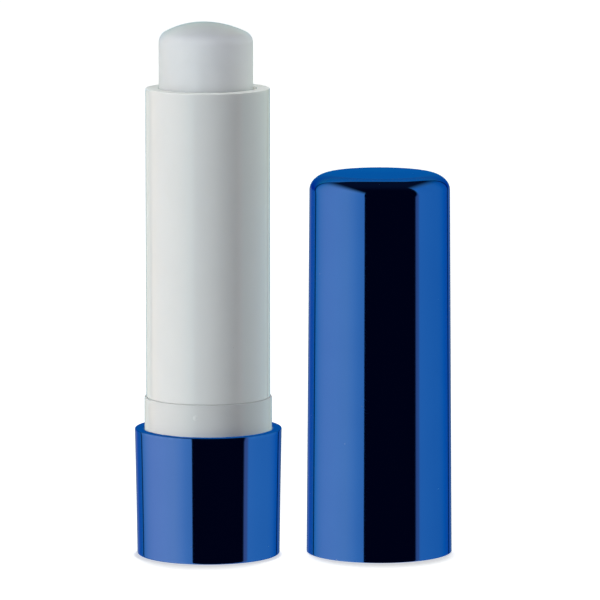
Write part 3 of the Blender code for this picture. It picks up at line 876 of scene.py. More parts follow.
@dataclass(frozen=True)
class Finish:
    """A surface in two close shades, with grain, scratches, specks of dust and rubbed edges.

    What a mark does to the colour and the roughness is a share. Rubbed edges can be rougher or
    polished, and level faces can be satin. A break scale of nought leaves the edges as they are.
    """

    name: str
    colour: Colour
    shade: Colour
    dust: Colour = (0.42, 0.41, 0.39)
    pale: Colour = (0.060, 0.160, 0.460)
    roughness: float = 0.16
    satin: float = 0.0
    grain_scale: float = 5200.0
    patch_scale: float = 160.0
    break_scale: float = 1200.0
    scratches: float = 0.30
    specks: float = 0.05
    paled: float = 0.0
    dusted: float = 0.0
    rough_scratch: float = 0.0
    rough_patch: float = 0.0
    rough_speck: float = 0.0
    rough_rubbed: float = 0.0
    polish: float = 0.0
    pits: float = 0.0
    relief: float = 0.0000007
    relief_strength: float = 0.6
    refraction: float = 1.46
    depth: float = 0.12
    scatter: Colour = (0.0011, 0.0010, 0.0009)

    def constants(self) -> dict[str, Fed]:
        """What is set on the shader itself.

        Returns:
            Each socket's value.
        """
        return {
            "IOR": self.refraction,
            "Subsurface Weight": self.depth,
            "Subsurface Radius": self.scatter,
            "Subsurface Scale": 1.0,
        }

    def material(self) -> Material:
        """Builds the material.

        Returns:
            The material.
        """
        material = bpy.data.materials.new(self.name)
        material.use_nodes = True
        sheet = Sheet(material.node_tree)
        own = sheet.outs("ShaderNodeTexCoord")

        def effect(tree: Tree, **inputs: float) -> dict[str, Wire]:
            """One shared group's outputs."""
            named = {label.replace("_", " "): value for label, value in inputs.items()}
            return sheet.outs("ShaderNodeGroup", {"Place": own["Object"], **named}, node_tree=tree)

        grain = effect(grain_group(), Grain_Scale=self.grain_scale, Patch_Scale=self.patch_scale)
        marks = effect(handling_group(), Scratches=self.scratches, Dust=self.specks)
        rubbed = effect(edge_group(), Break_Scale=self.break_scale)["Rubbed"] if self.break_scale else None
        colour = sheet.blend(grain["Patch"], self.colour, self.shade)
        for mask, share, other in ((rubbed, self.paled, self.pale), (marks["Speck"], self.dusted, self.dust)):
            if share:
                colour = sheet.blend(mask * share, colour, other)
        rough: Fed = self.roughness
        for mask, share in (
            (marks["Scratch"], self.rough_scratch),
            (grain["Patch"], self.rough_patch),
            (marks["Speck"], self.rough_speck),
            (rubbed, self.rough_rubbed),
        ):
            if share:
                rough = sheet.math("ADD", rough, mask * share)
        if self.polish:
            rough = sheet.math("SUBTRACT", rough, rubbed * self.polish, clamp=True)
        if self.satin:
            upright = sheet.outs("ShaderNodeSeparateXYZ", {"Vector": own["Normal"]})["Z"]
            level = sheet.rise(sheet.math("ABSOLUTE", upright), *LEVEL_STEP, 0.0, self.satin)
            rough = sheet.math("ADD", rough, level, clamp=True)
        height = grain["Height"] - marks["Speck"] * self.pits if self.pits else grain["Height"]
        relief = {"Height": height, "Strength": self.relief_strength, "Distance": self.relief}
        normal = sheet.get("ShaderNodeBump", relief)
        shader = material.node_tree.nodes["Principled BSDF"]
        wired = {"Base Color": colour, "Roughness": rough, "Normal": normal}
        for label, value in {**self.constants(), **wired}.items():
            sheet.feed(shader.inputs[label], value)
        return material


@dataclass(frozen=True)
class MetallisedLacquer(Finish):
    """Bright vacuum metal under clear blue lacquer, on the outside of the base and the cap."""

    dust: Colour = (0.30, 0.36, 0.48)
    roughness: float = 0.055
    grain_scale: float = 900.0
    patch_scale: float = 120.0
    break_scale: float = 1400.0
    scratches: float = 0.35
    specks: float = 0.10
    paled: float = 0.5
    dusted: float = 0.35
    rough_scratch: float = 0.10
    rough_speck: float = 0.25
    rough_rubbed: float = 0.05
    relief: float = 0.0000006
    relief_strength: float = 0.5
    edge_tint: Colour = (0.31, 0.38, 0.77)
    coat: float = 0.02
    coat_roughness: float = 0.02

    def constants(self) -> dict[str, Fed]:
        """What is set on the shader itself.

        Returns:
            Each socket's value.
        """
        return {
            "Metallic": 1.0,
            "Specular Tint": (*self.edge_tint, 1.0),
            "Coat Weight": self.coat,
            "Coat Roughness": self.coat_roughness,
        }


@dataclass(frozen=True)
class MouldedPlastic(Finish):
    """Opaque moulded plastic with polished edges, its level end faces left satin by the mould."""

    satin: float = 0.65
    dusted: float = 0.45
    rough_scratch: float = 0.12
    rough_patch: float = 0.03
    polish: float = 0.06


@dataclass(frozen=True)
class PouredWax(Finish):
    """The balm: pale wax that light goes a little way into, smooth from its mould with faint pits."""

    colour: Colour = (0.755, 0.768, 0.777)
    shade: Colour = (0.737, 0.750, 0.760)
    roughness: float = 0.36
    grain_scale: float = 1500.0
    patch_scale: float = 260.0
    break_scale: float = 0.0
    scratches: float = 0.0
    specks: float = 0.30
    rough_patch: float = 0.06
    pits: float = 1.2
    relief: float = 0.000004
    refraction: float = 1.44
    depth: float = 0.90
    scatter: Colour = (0.0066, 0.0064, 0.0062)


# Sub-assemblies


@dataclass
class TurnBase:
    """The base cup that is held and turned, with the keys that hold the drive screw."""

    shop: Workshop
    side: Sides
    height: float = 0.01665
    rim_radius: float = 0.00963
    rim_bore: float = 0.00850
    rim_depth: float = 0.0012
    flare: float = 0.00028
    flare_power: float = 1.2
    wall_steps: int = 14
    wall_end: float = 0.0006
    foot_edge: float = 0.0002
    bore_taper: float = 0.00010
    foot_ring: float = 0.0012
    foot_recess: float = 0.0004
    recess_slope: float = 0.6
    floor: float = 0.0013
    bead_radius: float = 0.0081
    bead_bottom: float = 0.00335
    bead_length: float = 0.0006
    gate_radius: float = 0.0007
    gate_lip: float = 0.00016
    gate_depth: float = 0.00014
    keys: int = 4
    key_depth: float = 0.0010
    key_width: float = 0.0012
    key_top: float = 0.0032

    def wall(self, height: float) -> float:
        """The outer radius at a height, flaring towards the rim."""
        return self.rim_radius - self.flare + self.flare * (height / self.height) ** self.flare_power

    def bore(self, height: float) -> float:
        """The bore's radius at a height."""
        return self.rim_bore - self.bore_taper * (self.height - height) / self.height

    def outline(self) -> Outline:
        """The cup's outline, from the middle of its floor over the rim to the recess under it.

        Returns:
            The outline.
        """
        floor_top = self.foot_recess + self.floor
        bead_top = self.bead_bottom + self.bead_length
        rim_foot = self.height - self.rim_depth
        line = Outline().on(
            (0.0, floor_top),
            (self.bore(floor_top), floor_top, ROOT),
            (self.bore(self.bead_bottom), self.bead_bottom, FILLET),
            (self.bead_radius, self.bead_bottom + self.bead_length / 2, FINE),
            (self.bore(bead_top), bead_top, FILLET),
            (self.bore(rim_foot), rim_foot),
            inside=True,
        )
        top, low = self.height - self.wall_end, self.foot_edge + self.wall_end
        heights = [top + (low - top) * step / self.wall_steps for step in range(self.wall_steps + 1)]
        foot = self.wall(0.0)
        recess = foot - self.foot_edge - self.foot_ring
        gate_top = self.foot_recess - self.gate_depth
        return line.on(
            (self.rim_bore, self.height, SOFT),
            (self.rim_radius, self.height, SOFT),
            *((self.wall(height), height) for height in heights),
            (foot, 0.0, self.foot_edge),
            (recess, 0.0, SOFT),
            (recess - self.foot_recess * self.recess_slope, self.foot_recess, FULL),
            (self.gate_radius + self.gate_lip, self.foot_recess, CRISP),
            (self.gate_radius, gate_top, CRISP),
            (0.0, gate_top),
        )

    def build(self) -> Piece:
        """Makes the cup with its keys.

        Returns:
            The piece.
        """
        bore = self.bore(0.0)
        inner, outer = bore - self.key_depth, bore + OVERRUN
        low = self.foot_recess + self.floor - OVERRUN
        keys = BlockRing(Combine.JOIN, self.keys, 0.0, inner, outer, self.key_width, low, self.key_top, inside=True)
        cup = self.shop.moulded("turn_base_shell", self.outline(), self.side, keys)
        return self.shop.placed(cup, Body.BASE, Slot.METALLISED, "base_cup")


@dataclass
class DriveScrew:
    """The keyed flange, its hub with four snap fingers, and the left-handed spindle."""

    shop: Workshop
    side: Sides
    flange_radius: float = 0.00825
    flange_bottom: float = 0.0019
    flange_top: float = 0.0032
    hub_radius: float = 0.00495
    hub_wall: float = 0.00125
    thrust_radius: float = 0.00635
    thrust_top: float = 0.00415
    head_radius: float = 0.0056
    head_bottom: float = 0.0057
    head_lip: float = 0.0003
    head_top: float = 0.0070
    head_tip: float = 0.00475
    post_radius: float = 0.00245
    fingers: int = 4
    finger_gap: float = 0.0010
    keys: int = 4
    notch_inner: float = 0.00725
    notch_width: float = 0.0015
    lead: float = 0.0030
    root_radius: float = 0.0016
    crest_radius: float = 0.0023
    crest_land: float = 0.0005
    flank: float = 0.0004
    first_crest: float = 0.0040
    spindle_top: float = 0.05342
    tip_length: float = 0.0007

    def outline(self) -> Outline:
        """The flange's and hub's outline, from the post's top to the underside.

        Returns:
            The outline.
        """
        bore = self.hub_radius - self.hub_wall
        return Outline(
            (0.0, self.head_top),
            (self.post_radius, self.head_top, FULL),
            (self.post_radius, self.flange_top, FILLET),
            (bore, self.flange_top, FILLET),
            (bore, self.head_top, FINE),
            (self.head_tip, self.head_top, NEAT),
            (self.head_radius, self.head_bottom + self.head_lip, NEAT),
            (self.head_radius, self.head_bottom, CRISP),
            (self.hub_radius, self.head_bottom, HAIR),
            (self.hub_radius, self.thrust_top, FINE),
            (self.thrust_radius, self.thrust_top, FINE),
            (self.thrust_radius, self.flange_top, FINE),
            (self.flange_radius, self.flange_top, SOFT),
            (self.flange_radius, self.flange_bottom, SOFT),
            (0.0, self.flange_bottom),
        )

    def rod(self, name: str, bottom: float, top: float, clearance: float = 0.0) -> Piece:
        """A threaded rod, which is the spindle or, with a clearance, the nut's tap.

        Args:
            name: The rod's name.
            bottom: Its lower end.
            top: Its upper end.
            clearance: How much wider it is than the spindle.

        Returns:
            The rod.
        """
        return grown(
            raw_object(name),
            thread_tree(),
            self.side,
            Lead=self.lead,
            Root_Radius=self.root_radius + clearance,
            Crest_Radius=self.crest_radius + clearance,
            Crest_Land=self.crest_land + 2 * clearance,
            Flank=self.flank,
            First_Crest=self.first_crest,
            Bottom=bottom,
            Top=top,
            Run_Out=self.tip_length,
            Steps_Round=THREAD_ROUND,
            Steps_Along=round((top - bottom) / THREAD_STEP),
        )

    def build(self) -> Piece:
        """Makes the drive screw.

        Returns:
            The piece.
        """
        inner, outer = self.hub_radius - self.hub_wall - OVERRUN, self.head_radius + OVERRUN
        half, high = math.pi / self.fingers, self.head_top + OVERRUN
        gaps = BlockRing(Combine.CUT, self.fingers, half, inner, outer, self.finger_gap, self.thrust_top, high)
        inner, outer = self.notch_inner, self.flange_radius + OVERRUN
        low, high = self.flange_bottom - OVERRUN, self.flange_top + OVERRUN
        notches = BlockRing(Combine.CUT, self.keys, 0.0, inner, outer, self.notch_width, low, high)
        rod = self.rod("spindle_rod", (self.flange_top + self.head_top) / 2, self.spindle_top)
        forms = gaps, notches, (rod, Combine.JOIN)
        screw = self.shop.moulded("spindle_moulding", self.outline(), self.side, *forms)
        return self.shop.placed(screw, Body.BASE, Slot.INNER, "drive_screw")


@dataclass
class Barrel:
    """The guide tube with its collar and nubs, and the sleeve over it."""

    shop: Workshop
    collar_side: Sides
    # The nubs' material is paler than the collar's, a painted highlight.
    nub_highlight_side: Sides
    sleeve_side: Sides
    bore: float = 0.0064
    guide_radius: float = 0.00725
    guide_top: float = 0.0602
    collar_radius: float = 0.00835
    collar_top: float = 0.02085
    land_bottom: float = 0.0140
    land_relief: float = 0.00015
    skirt_radius: float = 0.0082
    web_bottom: float = 0.0043
    web_top: float = 0.0055
    web_bore: float = 0.00515
    slots: int = 2
    slot_width: float = 0.0024
    slot_bottom: float = 0.0072
    slot_top: float = 0.05172
    slot_past_wall: float = 0.00005
    sleeve_bore: float = 0.00737
    sleeve_radius: float = 0.00812
    sleeve_bottom: float = 0.02086
    mouth: float = 0.0614
    lip: float = 0.0010
    nubs: int = 3
    nub_angle: float = math.radians(-100.6)
    nub_width: float = 0.0007
    nub_height: float = 0.00005
    nub_middle: float = 0.01915
    nub_sink: float = 0.00006
    nub_rings: int = 10
    nub_steps: int = 36

    def guide_outline(self) -> Outline:
        """The guide tube's outline, once round its wall.

        Returns:
            The outline.
        """
        start = (self.guide_radius, (self.guide_top + self.collar_top) / 2)
        return Outline(
            start,
            (self.guide_radius, self.collar_top, NEAT),
            (self.collar_radius, self.collar_top, SOFT),
            (self.collar_radius, self.land_bottom, FINE),
            (self.skirt_radius, self.land_bottom - self.land_relief, FINE),
            (self.skirt_radius, self.web_bottom, FINE),
            (self.web_bore, self.web_bottom, FINE),
            (self.web_bore, self.web_top, FINE),
            (self.bore, self.web_top, FILLET),
            (self.bore, self.guide_top, FINE),
            (self.guide_radius, self.guide_top, FULL),
            start,
        )

    def sleeve_outline(self) -> Outline:
        """The sleeve's outline, once round its wall and the lip turned in at its mouth.

        Returns:
            The outline.
        """
        start = (self.sleeve_radius, (self.mouth + self.sleeve_bottom) / 2)
        lip_bottom = self.mouth - self.lip
        return Outline(
            start,
            (self.sleeve_radius, self.sleeve_bottom, CRISP),
            (self.sleeve_bore, self.sleeve_bottom, FINE),
            (self.sleeve_bore, lip_bottom, FILLET),
            (self.bore, lip_bottom, FINE),
            (self.bore, self.mouth, FINE),
            (self.sleeve_radius, self.mouth, SOFT),
            start,
        )

    def build_guide(self) -> Piece:
        """Makes the guide tube with its two slots.

        Returns:
            The piece.
        """
        inner, outer = self.bore - OVERRUN, self.guide_radius + self.slot_past_wall
        low, high = self.slot_bottom, self.slot_top
        slots = BlockRing(Combine.CUT, self.slots, 0.0, inner, outer, self.slot_width, low, high)
        tube = self.shop.moulded("collar_tube", self.guide_outline(), self.collar_side, slots)
        return self.shop.placed(tube, Body.BARREL, Slot.BARREL, "guide_tube")

    def build_nubs(self) -> Piece:
        """Makes the nubs that the cap clicks over.

        Returns:
            The piece.
        """
        # Their paler material is a painted highlight that stands in for a glint.
        nubs = grown(
            raw_object("snap_nubs"),
            nub_tree(),
            self.nub_highlight_side,
            Count=self.nubs,
            First_Angle=self.nub_angle,
            Collar_Radius=self.collar_radius,
            Nub_Width=self.nub_width,
            Nub_Height=self.nub_height,
            Nub_Middle=self.nub_middle,
            Sink=self.nub_sink,
            Rings=self.nub_rings,
            Steps=self.nub_steps,
        )
        return self.shop.placed(nubs, Body.BARREL, Slot.BARREL)

    def build_sleeve(self) -> Piece:
        """Makes the sleeve."""
        sleeve = self.shop.moulded("outer_sleeve", self.sleeve_outline(), self.sleeve_side)
        return self.shop.placed(sleeve, Body.BARREL, Slot.BARREL, "barrel_sleeve")


@dataclass
class Lift:
    """The carrier, a nut and cup with lugs, and the balm cast into it."""

    shop: Workshop
    carrier_side: Sides
    balm_side: Sides
    bottom: float = 0.01752
    floor: float = 0.0012
    cup_height: float = 0.0080
    radius: float = 0.0061
    cup_bore: float = 0.00545
    nut_radius: float = 0.0034
    nut_height: float = 0.0050
    lugs: int = 2
    lug_radius: float = 0.00695
    lug_width: float = 0.0020
    lug_height: float = 0.0040
    petals: int = 4
    petal_gap: float = 0.0014
    petal_depth: float = 0.0052
    thread_clearance: float = 0.00015
    cast_gap: float = 0.00012
    balm_radius: float = 0.00616
    balm_top: float = 0.07002
    crown_radius: float = 0.0116
    crown_steps: int = 16
    shoulder: float = 0.0016
    shoulder_steps: int = 12
    hole_radius: float = 0.0026
    hole_top: float = 0.06384
    aside: float = 0.00022
    lean_length: float = 0.030
    crown_aside: float = 0.00030

    def carrier_outline(self) -> Outline:
        """The carrier's outline, from the nut's top to the underside.

        Returns:
            The outline.
        """
        floor_top = self.bottom + self.floor
        nut_top = self.bottom + self.nut_height
        cup_top = self.bottom + self.cup_height
        return Outline(
            (0.0, nut_top),
            (self.nut_radius, nut_top, FULL),
            (self.nut_radius, floor_top, FILLET),
            (self.cup_bore, floor_top, FILLET),
            (self.cup_bore, cup_top, FINE),
            (self.radius, cup_top, FULL),
            (self.radius, self.bottom, FULL),
            (0.0, self.bottom),
        )

    def balm_outline(self) -> Outline:
        """The balm's outline, from the top of its crown to the hole over the spindle.

        Returns:
            The outline.
        """
        radius, inner = self.crown_radius, self.crown_radius - self.shoulder
        shoulder_in = self.balm_radius - self.shoulder
        shoulder_up = math.sqrt(inner**2 - shoulder_in**2)
        meet = math.degrees(math.atan2(shoulder_up, shoulder_in))
        middle = self.balm_top - radius
        crown = ellipse_arc((0.0, middle), radius, radius, 90, meet, self.crown_steps)
        shoulder_middle = (shoulder_in, middle + shoulder_up)
        shoulder = ellipse_arc(shoulder_middle, self.shoulder, self.shoulder, meet, 0, self.shoulder_steps)
        seat = self.bottom + self.cup_height + self.cast_gap
        plug = self.cup_bore - self.cast_gap
        plug_bottom = self.bottom + self.floor + self.cast_gap
        nut_hole = self.nut_radius + self.cast_gap
        step = self.bottom + self.nut_height + self.cast_gap
        return Outline(
            (0.0, self.balm_top),
            *crown[1:],
            *shoulder[1:],
            (self.balm_radius, seat, FINE),
            (plug, seat, FINE),
            (plug, plug_bottom, FINE),
            (nut_hole, plug_bottom, FINE),
            (nut_hole, step, FINE),
            (self.hole_radius, step, FINE),
            (self.hole_radius, self.hole_top, FILLET),
            (0.0, self.hole_top),
        )

    def build_carrier(self, drive: DriveScrew) -> Piece:
        """Makes the carrier, its nut cut with the spindle's own thread.

        Args:
            drive: The drive screw, whose thread the nut takes.

        Returns:
            The piece.
        """
        low, high = self.bottom, self.bottom + self.lug_height
        inner, outer = (self.radius + self.cup_bore) / 2, self.lug_radius
        lugs = BlockRing(Combine.JOIN, self.lugs, 0.0, inner, outer, self.lug_width, low, high)
        top = self.bottom + self.cup_height
        low, high = top - self.petal_depth, top + OVERRUN
        inner, outer = self.cup_bore - OVERRUN, self.radius + OVERRUN
        gaps = BlockRing(Combine.CUT, self.petals, math.pi / self.petals, inner, outer, self.petal_gap, low, high)
        low, high = self.bottom - drive.lead, self.bottom + self.nut_height + drive.lead
        tap = drive.rod("nut_tap", low, high, self.thread_clearance)
        forms = lugs, gaps, (tap, Combine.CUT)
        carrier = self.shop.moulded("lift_carrier", self.carrier_outline(), self.carrier_side, *forms)
        return self.shop.placed(carrier, Body.CARRIER, Slot.INNER, "carrier")

    def build_balm(self) -> Piece:
        """Makes the balm, which stands a little to the left within its clearance.

        Returns:
            The piece.
        """
        balm = self.shop.moulded("balm_bullet", self.balm_outline(), self.balm_side)
        foot = self.bottom + self.cup_height
        for vert in balm.data.vertices:
            share = min(1.0, max(0.0, (vert.co.z - foot) / self.lean_length))
            off = self.aside * share * share * (3 - 2 * share)
            if vert.co.z > self.hole_top:
                out = math.hypot(vert.co.x, vert.co.y) / self.balm_radius
                off += self.crown_aside * max(0.0, 1 - out**2)
            vert.co.x -= off
        return self.shop.placed(balm, Body.CARRIER, Slot.BALM, "balm")


@dataclass
class Cap:
    """The pulled-off cap, one tapered shell with a flat top and a rounded shoulder."""

    shop: Workshop
    side: Sides
    height: float = 0.0501
    mouth_radius: float = 0.00956
    mouth_bore: float = 0.0085
    taper: float = 0.00038
    bore_taper: float = 0.00023
    corner_reach: float = 0.0029
    corner_drop: float = 0.0022
    corner_steps: int = 28
    crown: float = 0.00003
    crown_steps: int = 12
    top_wall: float = 0.0012
    inner_corner: float = 0.0020
    inner_steps: int = 10
    bead: float = 0.00008
    bead_top: float = 0.0020
    bead_length: float = 0.0008

    def wall(self, height: float) -> float:
        """The outer radius at a height."""
        return self.mouth_radius - self.taper * height / self.height

    def bore(self, height: float) -> float:
        """The inner radius at a height."""
        return self.mouth_bore - self.bore_taper * height / self.height

    def outline(self) -> Outline:
        """The cap's outline, from the middle of its top over the mouth to the middle of its roof.

        Returns:
            The outline.
        """
        corner = self.height - self.crown - self.corner_drop
        flat = self.wall(corner) - self.corner_reach
        line = Outline()
        for step in range(self.crown_steps):
            share = step / self.crown_steps
            fall = self.crown * (1 - math.cos(math.pi * share)) / 2
            line.on((flat * share, self.height - fall))
        line.on(
            *ellipse_arc((flat, corner), self.corner_reach, self.corner_drop, 90, 0, self.corner_steps),
            (self.mouth_radius, 0.0, NEAT),
            (self.mouth_bore, 0.0, NEAT),
        )
        bead_bottom = self.bead_top - self.bead_length
        bead_middle = self.bead_top - self.bead_length / 2
        roof = self.height - self.top_wall
        turn, size = roof - self.inner_corner, self.inner_corner
        return line.on(
            (self.bore(bead_bottom), bead_bottom, FILLET),
            (self.bore(bead_middle) - self.bead, bead_middle, FILLET),
            (self.bore(self.bead_top), self.bead_top, FILLET),
            *ellipse_arc((self.bore(turn) - size, turn), size, size, 0, 90, self.inner_steps),
            (0.0, roof),
            inside=True,
        )

    def build(self) -> Piece:
        """Makes the cap."""
        shell = self.shop.moulded("cap_shell", self.outline(), self.side)
        return self.shop.placed(shell, Body.CAP, Slot.METALLISED, "cap")


# Studio


class Lit(Enum):
    """What a lamp lights. The stick's own lamps leave the cap out, and the ground's lights the cap and the floor."""

    STICK = "lit_stick"
    SLEEVE = "lit_sleeve"
    BALM = "lit_balm"
    GROUND = "lit_ground"


@dataclass(frozen=True)
class SidePanel:
    """The edges of a lit wall at one side, an upright plane that runs from front to back.

    They are shares of its distance from the object: along the camera's view, and upwards. The front
    and back edges lean by a share of the height, and the wall fades out towards its top. Past its
    back edge a gap shows a share of the wall, which then goes on whole.
    """

    side: int
    front: float
    front_lean: float
    back: float
    back_lean: float
    gap: float
    gap_share: float
    top: float
    soft: float = 0.045
    fade: float = 1.1


@dataclass(frozen=True)
class SoftLamp:
    """A far area lamp. Its level is how bright it makes a white sheet that faces it."""

    name: str
    lit: Lit
    azimuth: float
    elevation: float
    level: float
    width: float
    length: float
    colour: Colour
    distance: float = 2.0


@dataclass
class Studio:
    """The floor, the camera, the lamps and the surroundings.

    The bands colour the lit walls by the slope above the horizon, and the tones by the direction
    round the object, in degrees from the front.
    """

    distance: float = 0.8228
    pitch: float = 0.1350
    lens: float = 377.41
    sensor: float = 36.0
    nearest: float = 0.01
    farthest: float = 20.0
    aim: tuple[float, float, float] = (0.000868, -0.000685, 0.03351)
    floor_radius: float = 1.6
    floor_sides: int = 64
    floor_drop: float = 0.00005
    floor_white: float = 0.9
    floor_dim: Colour = (0.42, 0.45, 0.47)
    floor_lift: float = 0.60
    wall_rise: float = 1.25
    horizon: float = 0.03
    overhead: float = 0.03
    overhead_start: float = 0.2
    overhead_end: float = 1.2
    least_outward: float = 0.0001
    least_flat: float = 0.01
    front_glow: Colour = (0.004, 0.006, 0.018)
    ambient: Colour = (0.100, 0.110, 0.110)
    bands: Ramp = (
        (0.12, (0.006, 0.31, 0.64)),
        (0.31, (0.05, 0.80, 0.73)),
        (0.54, (1.30, 1.30, 0.73)),
        (0.80, (1.00, 1.15, 0.90)),
    )
    panels: tuple[SidePanel, ...] = (
        SidePanel(-1, -2.10, 0.06, 0.86, 0.34, 0.12, 0.12, 1.86),
        SidePanel(1, -0.54, 0.21, 1.48, 0.38, 0.25, 0.10, 1.98),
    )
    tones: Ramp = (
        (-180.0, (0.06, 0.28, 0.42)),
        (-168.0, (0.12, 0.38, 0.46)),
        (-158.0, (1.00, 1.00, 0.88)),
        (-136.0, (1.15, 1.05, 0.90)),
        (-128.0, (1.90, 1.45, 1.07)),
        (-117.0, (2.13, 1.53, 1.17)),
        (-99.0, (2.18, 1.56, 1.26)),
        (-75.0, (2.12, 1.60, 1.28)),
        (-56.0, (1.94, 1.55, 1.23)),
        (-45.0, (1.51, 1.41, 1.20)),
        (-35.0, (1.05, 1.23, 1.13)),
        (-26.0, (0.86, 1.12, 1.06)),
        (57.0, (0.68, 0.55, 0.58)),
        (65.0, (0.68, 0.55, 0.58)),
        (68.0, (0.48, 0.985, 1.06)),
        (85.0, (0.40, 0.95, 1.04)),
        (100.0, (0.38, 0.93, 1.02)),
        (125.0, (0.48, 1.02, 1.02)),
        (138.0, (0.62, 1.00, 0.92)),
        (158.0, (0.55, 0.80, 0.70)),
        (168.0, (0.07, 0.25, 0.36)),
        (180.0, (0.06, 0.28, 0.42)),
    )
    lamps: tuple[SoftLamp, ...] = (
        SoftLamp("left_softbox", Lit.STICK, -58.7, 6.0, 0.68, 0.80, 0.36, (0.885, 0.935, 0.94)),
        SoftLamp("right_softbox", Lit.STICK, 112.0, 6.0, 0.47, 0.80, 0.36, (1.0, 0.96, 0.87)),
        SoftLamp("front_fill", Lit.STICK, 5.0, 8.0, 0.085, 1.20, 1.20, (0.94, 0.88, 1.0)),
        SoftLamp("back_fill", Lit.STICK, 178.0, 12.0, 0.60, 1.20, 1.20, (0.97, 1.0, 1.0)),
        SoftLamp("top_fill", Lit.STICK, 0.0, 88.0, 0.135, 1.20, 1.20, (0.86, 0.86, 1.0)),
        SoftLamp("balm_fill", Lit.BALM, 16.0, 12.0, 0.155, 0.80, 0.80, (0.93, 0.95, 1.0)),
        SoftLamp("crown_fill", Lit.BALM, 0.0, 88.0, 0.06, 0.80, 0.80, (0.65, 0.65, 1.0)),
        SoftLamp("lip_fill", Lit.SLEEVE, 0.0, 80.0, 0.40, 1.20, 1.20, (1.0, 0.98, 0.93)),
        SoftLamp("ground_fill", Lit.GROUND, 180.0, 86.4, 0.55, 0.07, 0.15, (1.0, 1.0, 1.0)),
    )

    def place_camera(self) -> None:
        """Sets the camera at the photograph's place, a long lens a little above the object."""
        data = bpy.data.cameras.new("photograph")
        data.lens = self.lens
        data.sensor_width = self.sensor
        data.clip_start, data.clip_end = self.nearest, self.farthest
        camera = bpy.data.objects.new("photograph", data)
        back = Vector((0.0, -math.cos(self.pitch), math.sin(self.pitch)))
        camera.location = Vector(self.aim) + back * self.distance
        camera.rotation_euler = (math.pi / 2 - self.pitch, 0.0, 0.0)
        bpy.context.scene.collection.objects.link(camera)
        bpy.context.scene.camera = camera

    def floor_material(self) -> Material:
        """The floor's white, which keeps the shadow of what stands on it and is clear from below.

        Returns:
            The material.
        """
        material = bpy.data.materials.new("floor_white")
        material.use_nodes = True
        material.node_tree.nodes.clear()
        sheet = Sheet(material.node_tree)
        seen = sheet.get("ShaderNodeLightPath", out="Is Camera Ray")
        white = sheet.blend(seen, self.floor_dim, (self.floor_white,) * 3)
        lit = sheet.get("ShaderNodeBsdfDiffuse", {"Color": white})
        lift = sheet.get("ShaderNodeEmission", {"Strength": seen * self.floor_lift})
        above = sheet.get("ShaderNodeAddShader", {0: lit, 1: lift})
        under = sheet.get("ShaderNodeNewGeometry", out="Backfacing")
        clear = sheet.get("ShaderNodeBsdfTransparent")
        shown = sheet.get("ShaderNodeMixShader", {0: under, 1: above, 2: clear})
        sheet.put("ShaderNodeOutputMaterial", {"Surface": shown})
        return material

    def lay_floor(self) -> Piece:
        """Lays the floor, which keeps the object's shadow and isn't mirrored in it.

        Returns:
            The floor.
        """
        mesh = bpy.data.meshes.new("floor")
        shape = bmesh.new()
        bmesh.ops.create_circle(shape, cap_ends=True, radius=self.floor_radius, segments=self.floor_sides)
        bmesh.ops.translate(shape, verts=shape.verts, vec=(0.0, 0.0, -self.floor_drop))
        shape.to_mesh(mesh)
        shape.free()
        mesh.materials.append(self.floor_material())
        floor = raw_object("floor", mesh)
        floor.visible_glossy = False
        return floor

    def hang_lamps(self, lit: dict[Lit, list[Piece]], shading: dict[Lit, list[Piece]]) -> None:
        """Sets the soft lamps, which gloss doesn't show.

        Args:
            lit: What each kind of lamp lights.
            shading: What casts shadows in its light.
        """
        for kind in Lit:
            for part, objects in (("faces", lit[kind]), ("shades", shading[kind])):
                group = bpy.data.collections.new(f"{kind.value}_{part}")
                for obj in objects:
                    group.objects.link(obj)
        for lamp in self.lamps:
            data = bpy.data.lights.new(lamp.name, "AREA")
            data.shape = "RECTANGLE"
            data.size, data.size_y = lamp.width, lamp.length
            data.energy = lamp.level * (math.pi * lamp.distance) ** 2
            data.color = lamp.colour
            light = bpy.data.objects.new(lamp.name, data)
            turn, lift = math.radians(lamp.azimuth), math.radians(lamp.elevation)
            out = Vector((math.sin(turn) * math.cos(lift), -math.cos(turn) * math.cos(lift), math.sin(lift)))
            light.location = Vector(self.aim) + out * lamp.distance
            light.rotation_euler = (-out).to_track_quat("-Z", "Y").to_euler()
            light.visible_glossy = False
            light.visible_camera = False
            bpy.context.scene.collection.objects.link(light)
            light.light_linking.receiver_collection = bpy.data.collections[f"{lamp.lit.value}_faces"]
            light.light_linking.blocker_collection = bpy.data.collections[f"{lamp.lit.value}_shades"]

    def _panel_masks(self, sheet: Sheet, way: dict[str, Wire], panel: SidePanel) -> tuple[Wire, Wire]:
        """Where one side panel and the wall past its back edge are seen.

        Args:
            sheet: The world's sheet.
            way: The direction's three parts.
            panel: The panel.

        Returns:
            The panel's mask and the wall's, both black on the other side.
        """
        outward = way["X"] * float(panel.side)
        distance = sheet.math("MAXIMUM", outward, self.least_outward)
        along, up = way["Y"] / distance, way["Z"] / distance
        here = sheet.math("GREATER_THAN", outward, 0.0)
        from_front = along - up * panel.front_lean
        from_back = along - up * panel.back_lean
        front, back, past, soft = panel.front, panel.back, panel.back + panel.gap, panel.soft
        mask = here * sheet.rise(from_front, front - soft, front + soft)
        mask = mask * sheet.rise(from_back, back - soft, back + soft, 1.0, 0.0)
        mask = mask * sheet.rise(up, panel.top - panel.fade, panel.top, 1.0, 0.0)
        dim = sheet.rise(from_back, back - soft, back + soft, 0.0, panel.gap_share)
        full = sheet.rise(from_back, past - soft, past + soft, 0.0, 1.0 - panel.gap_share)
        return mask, here * (dim + full)

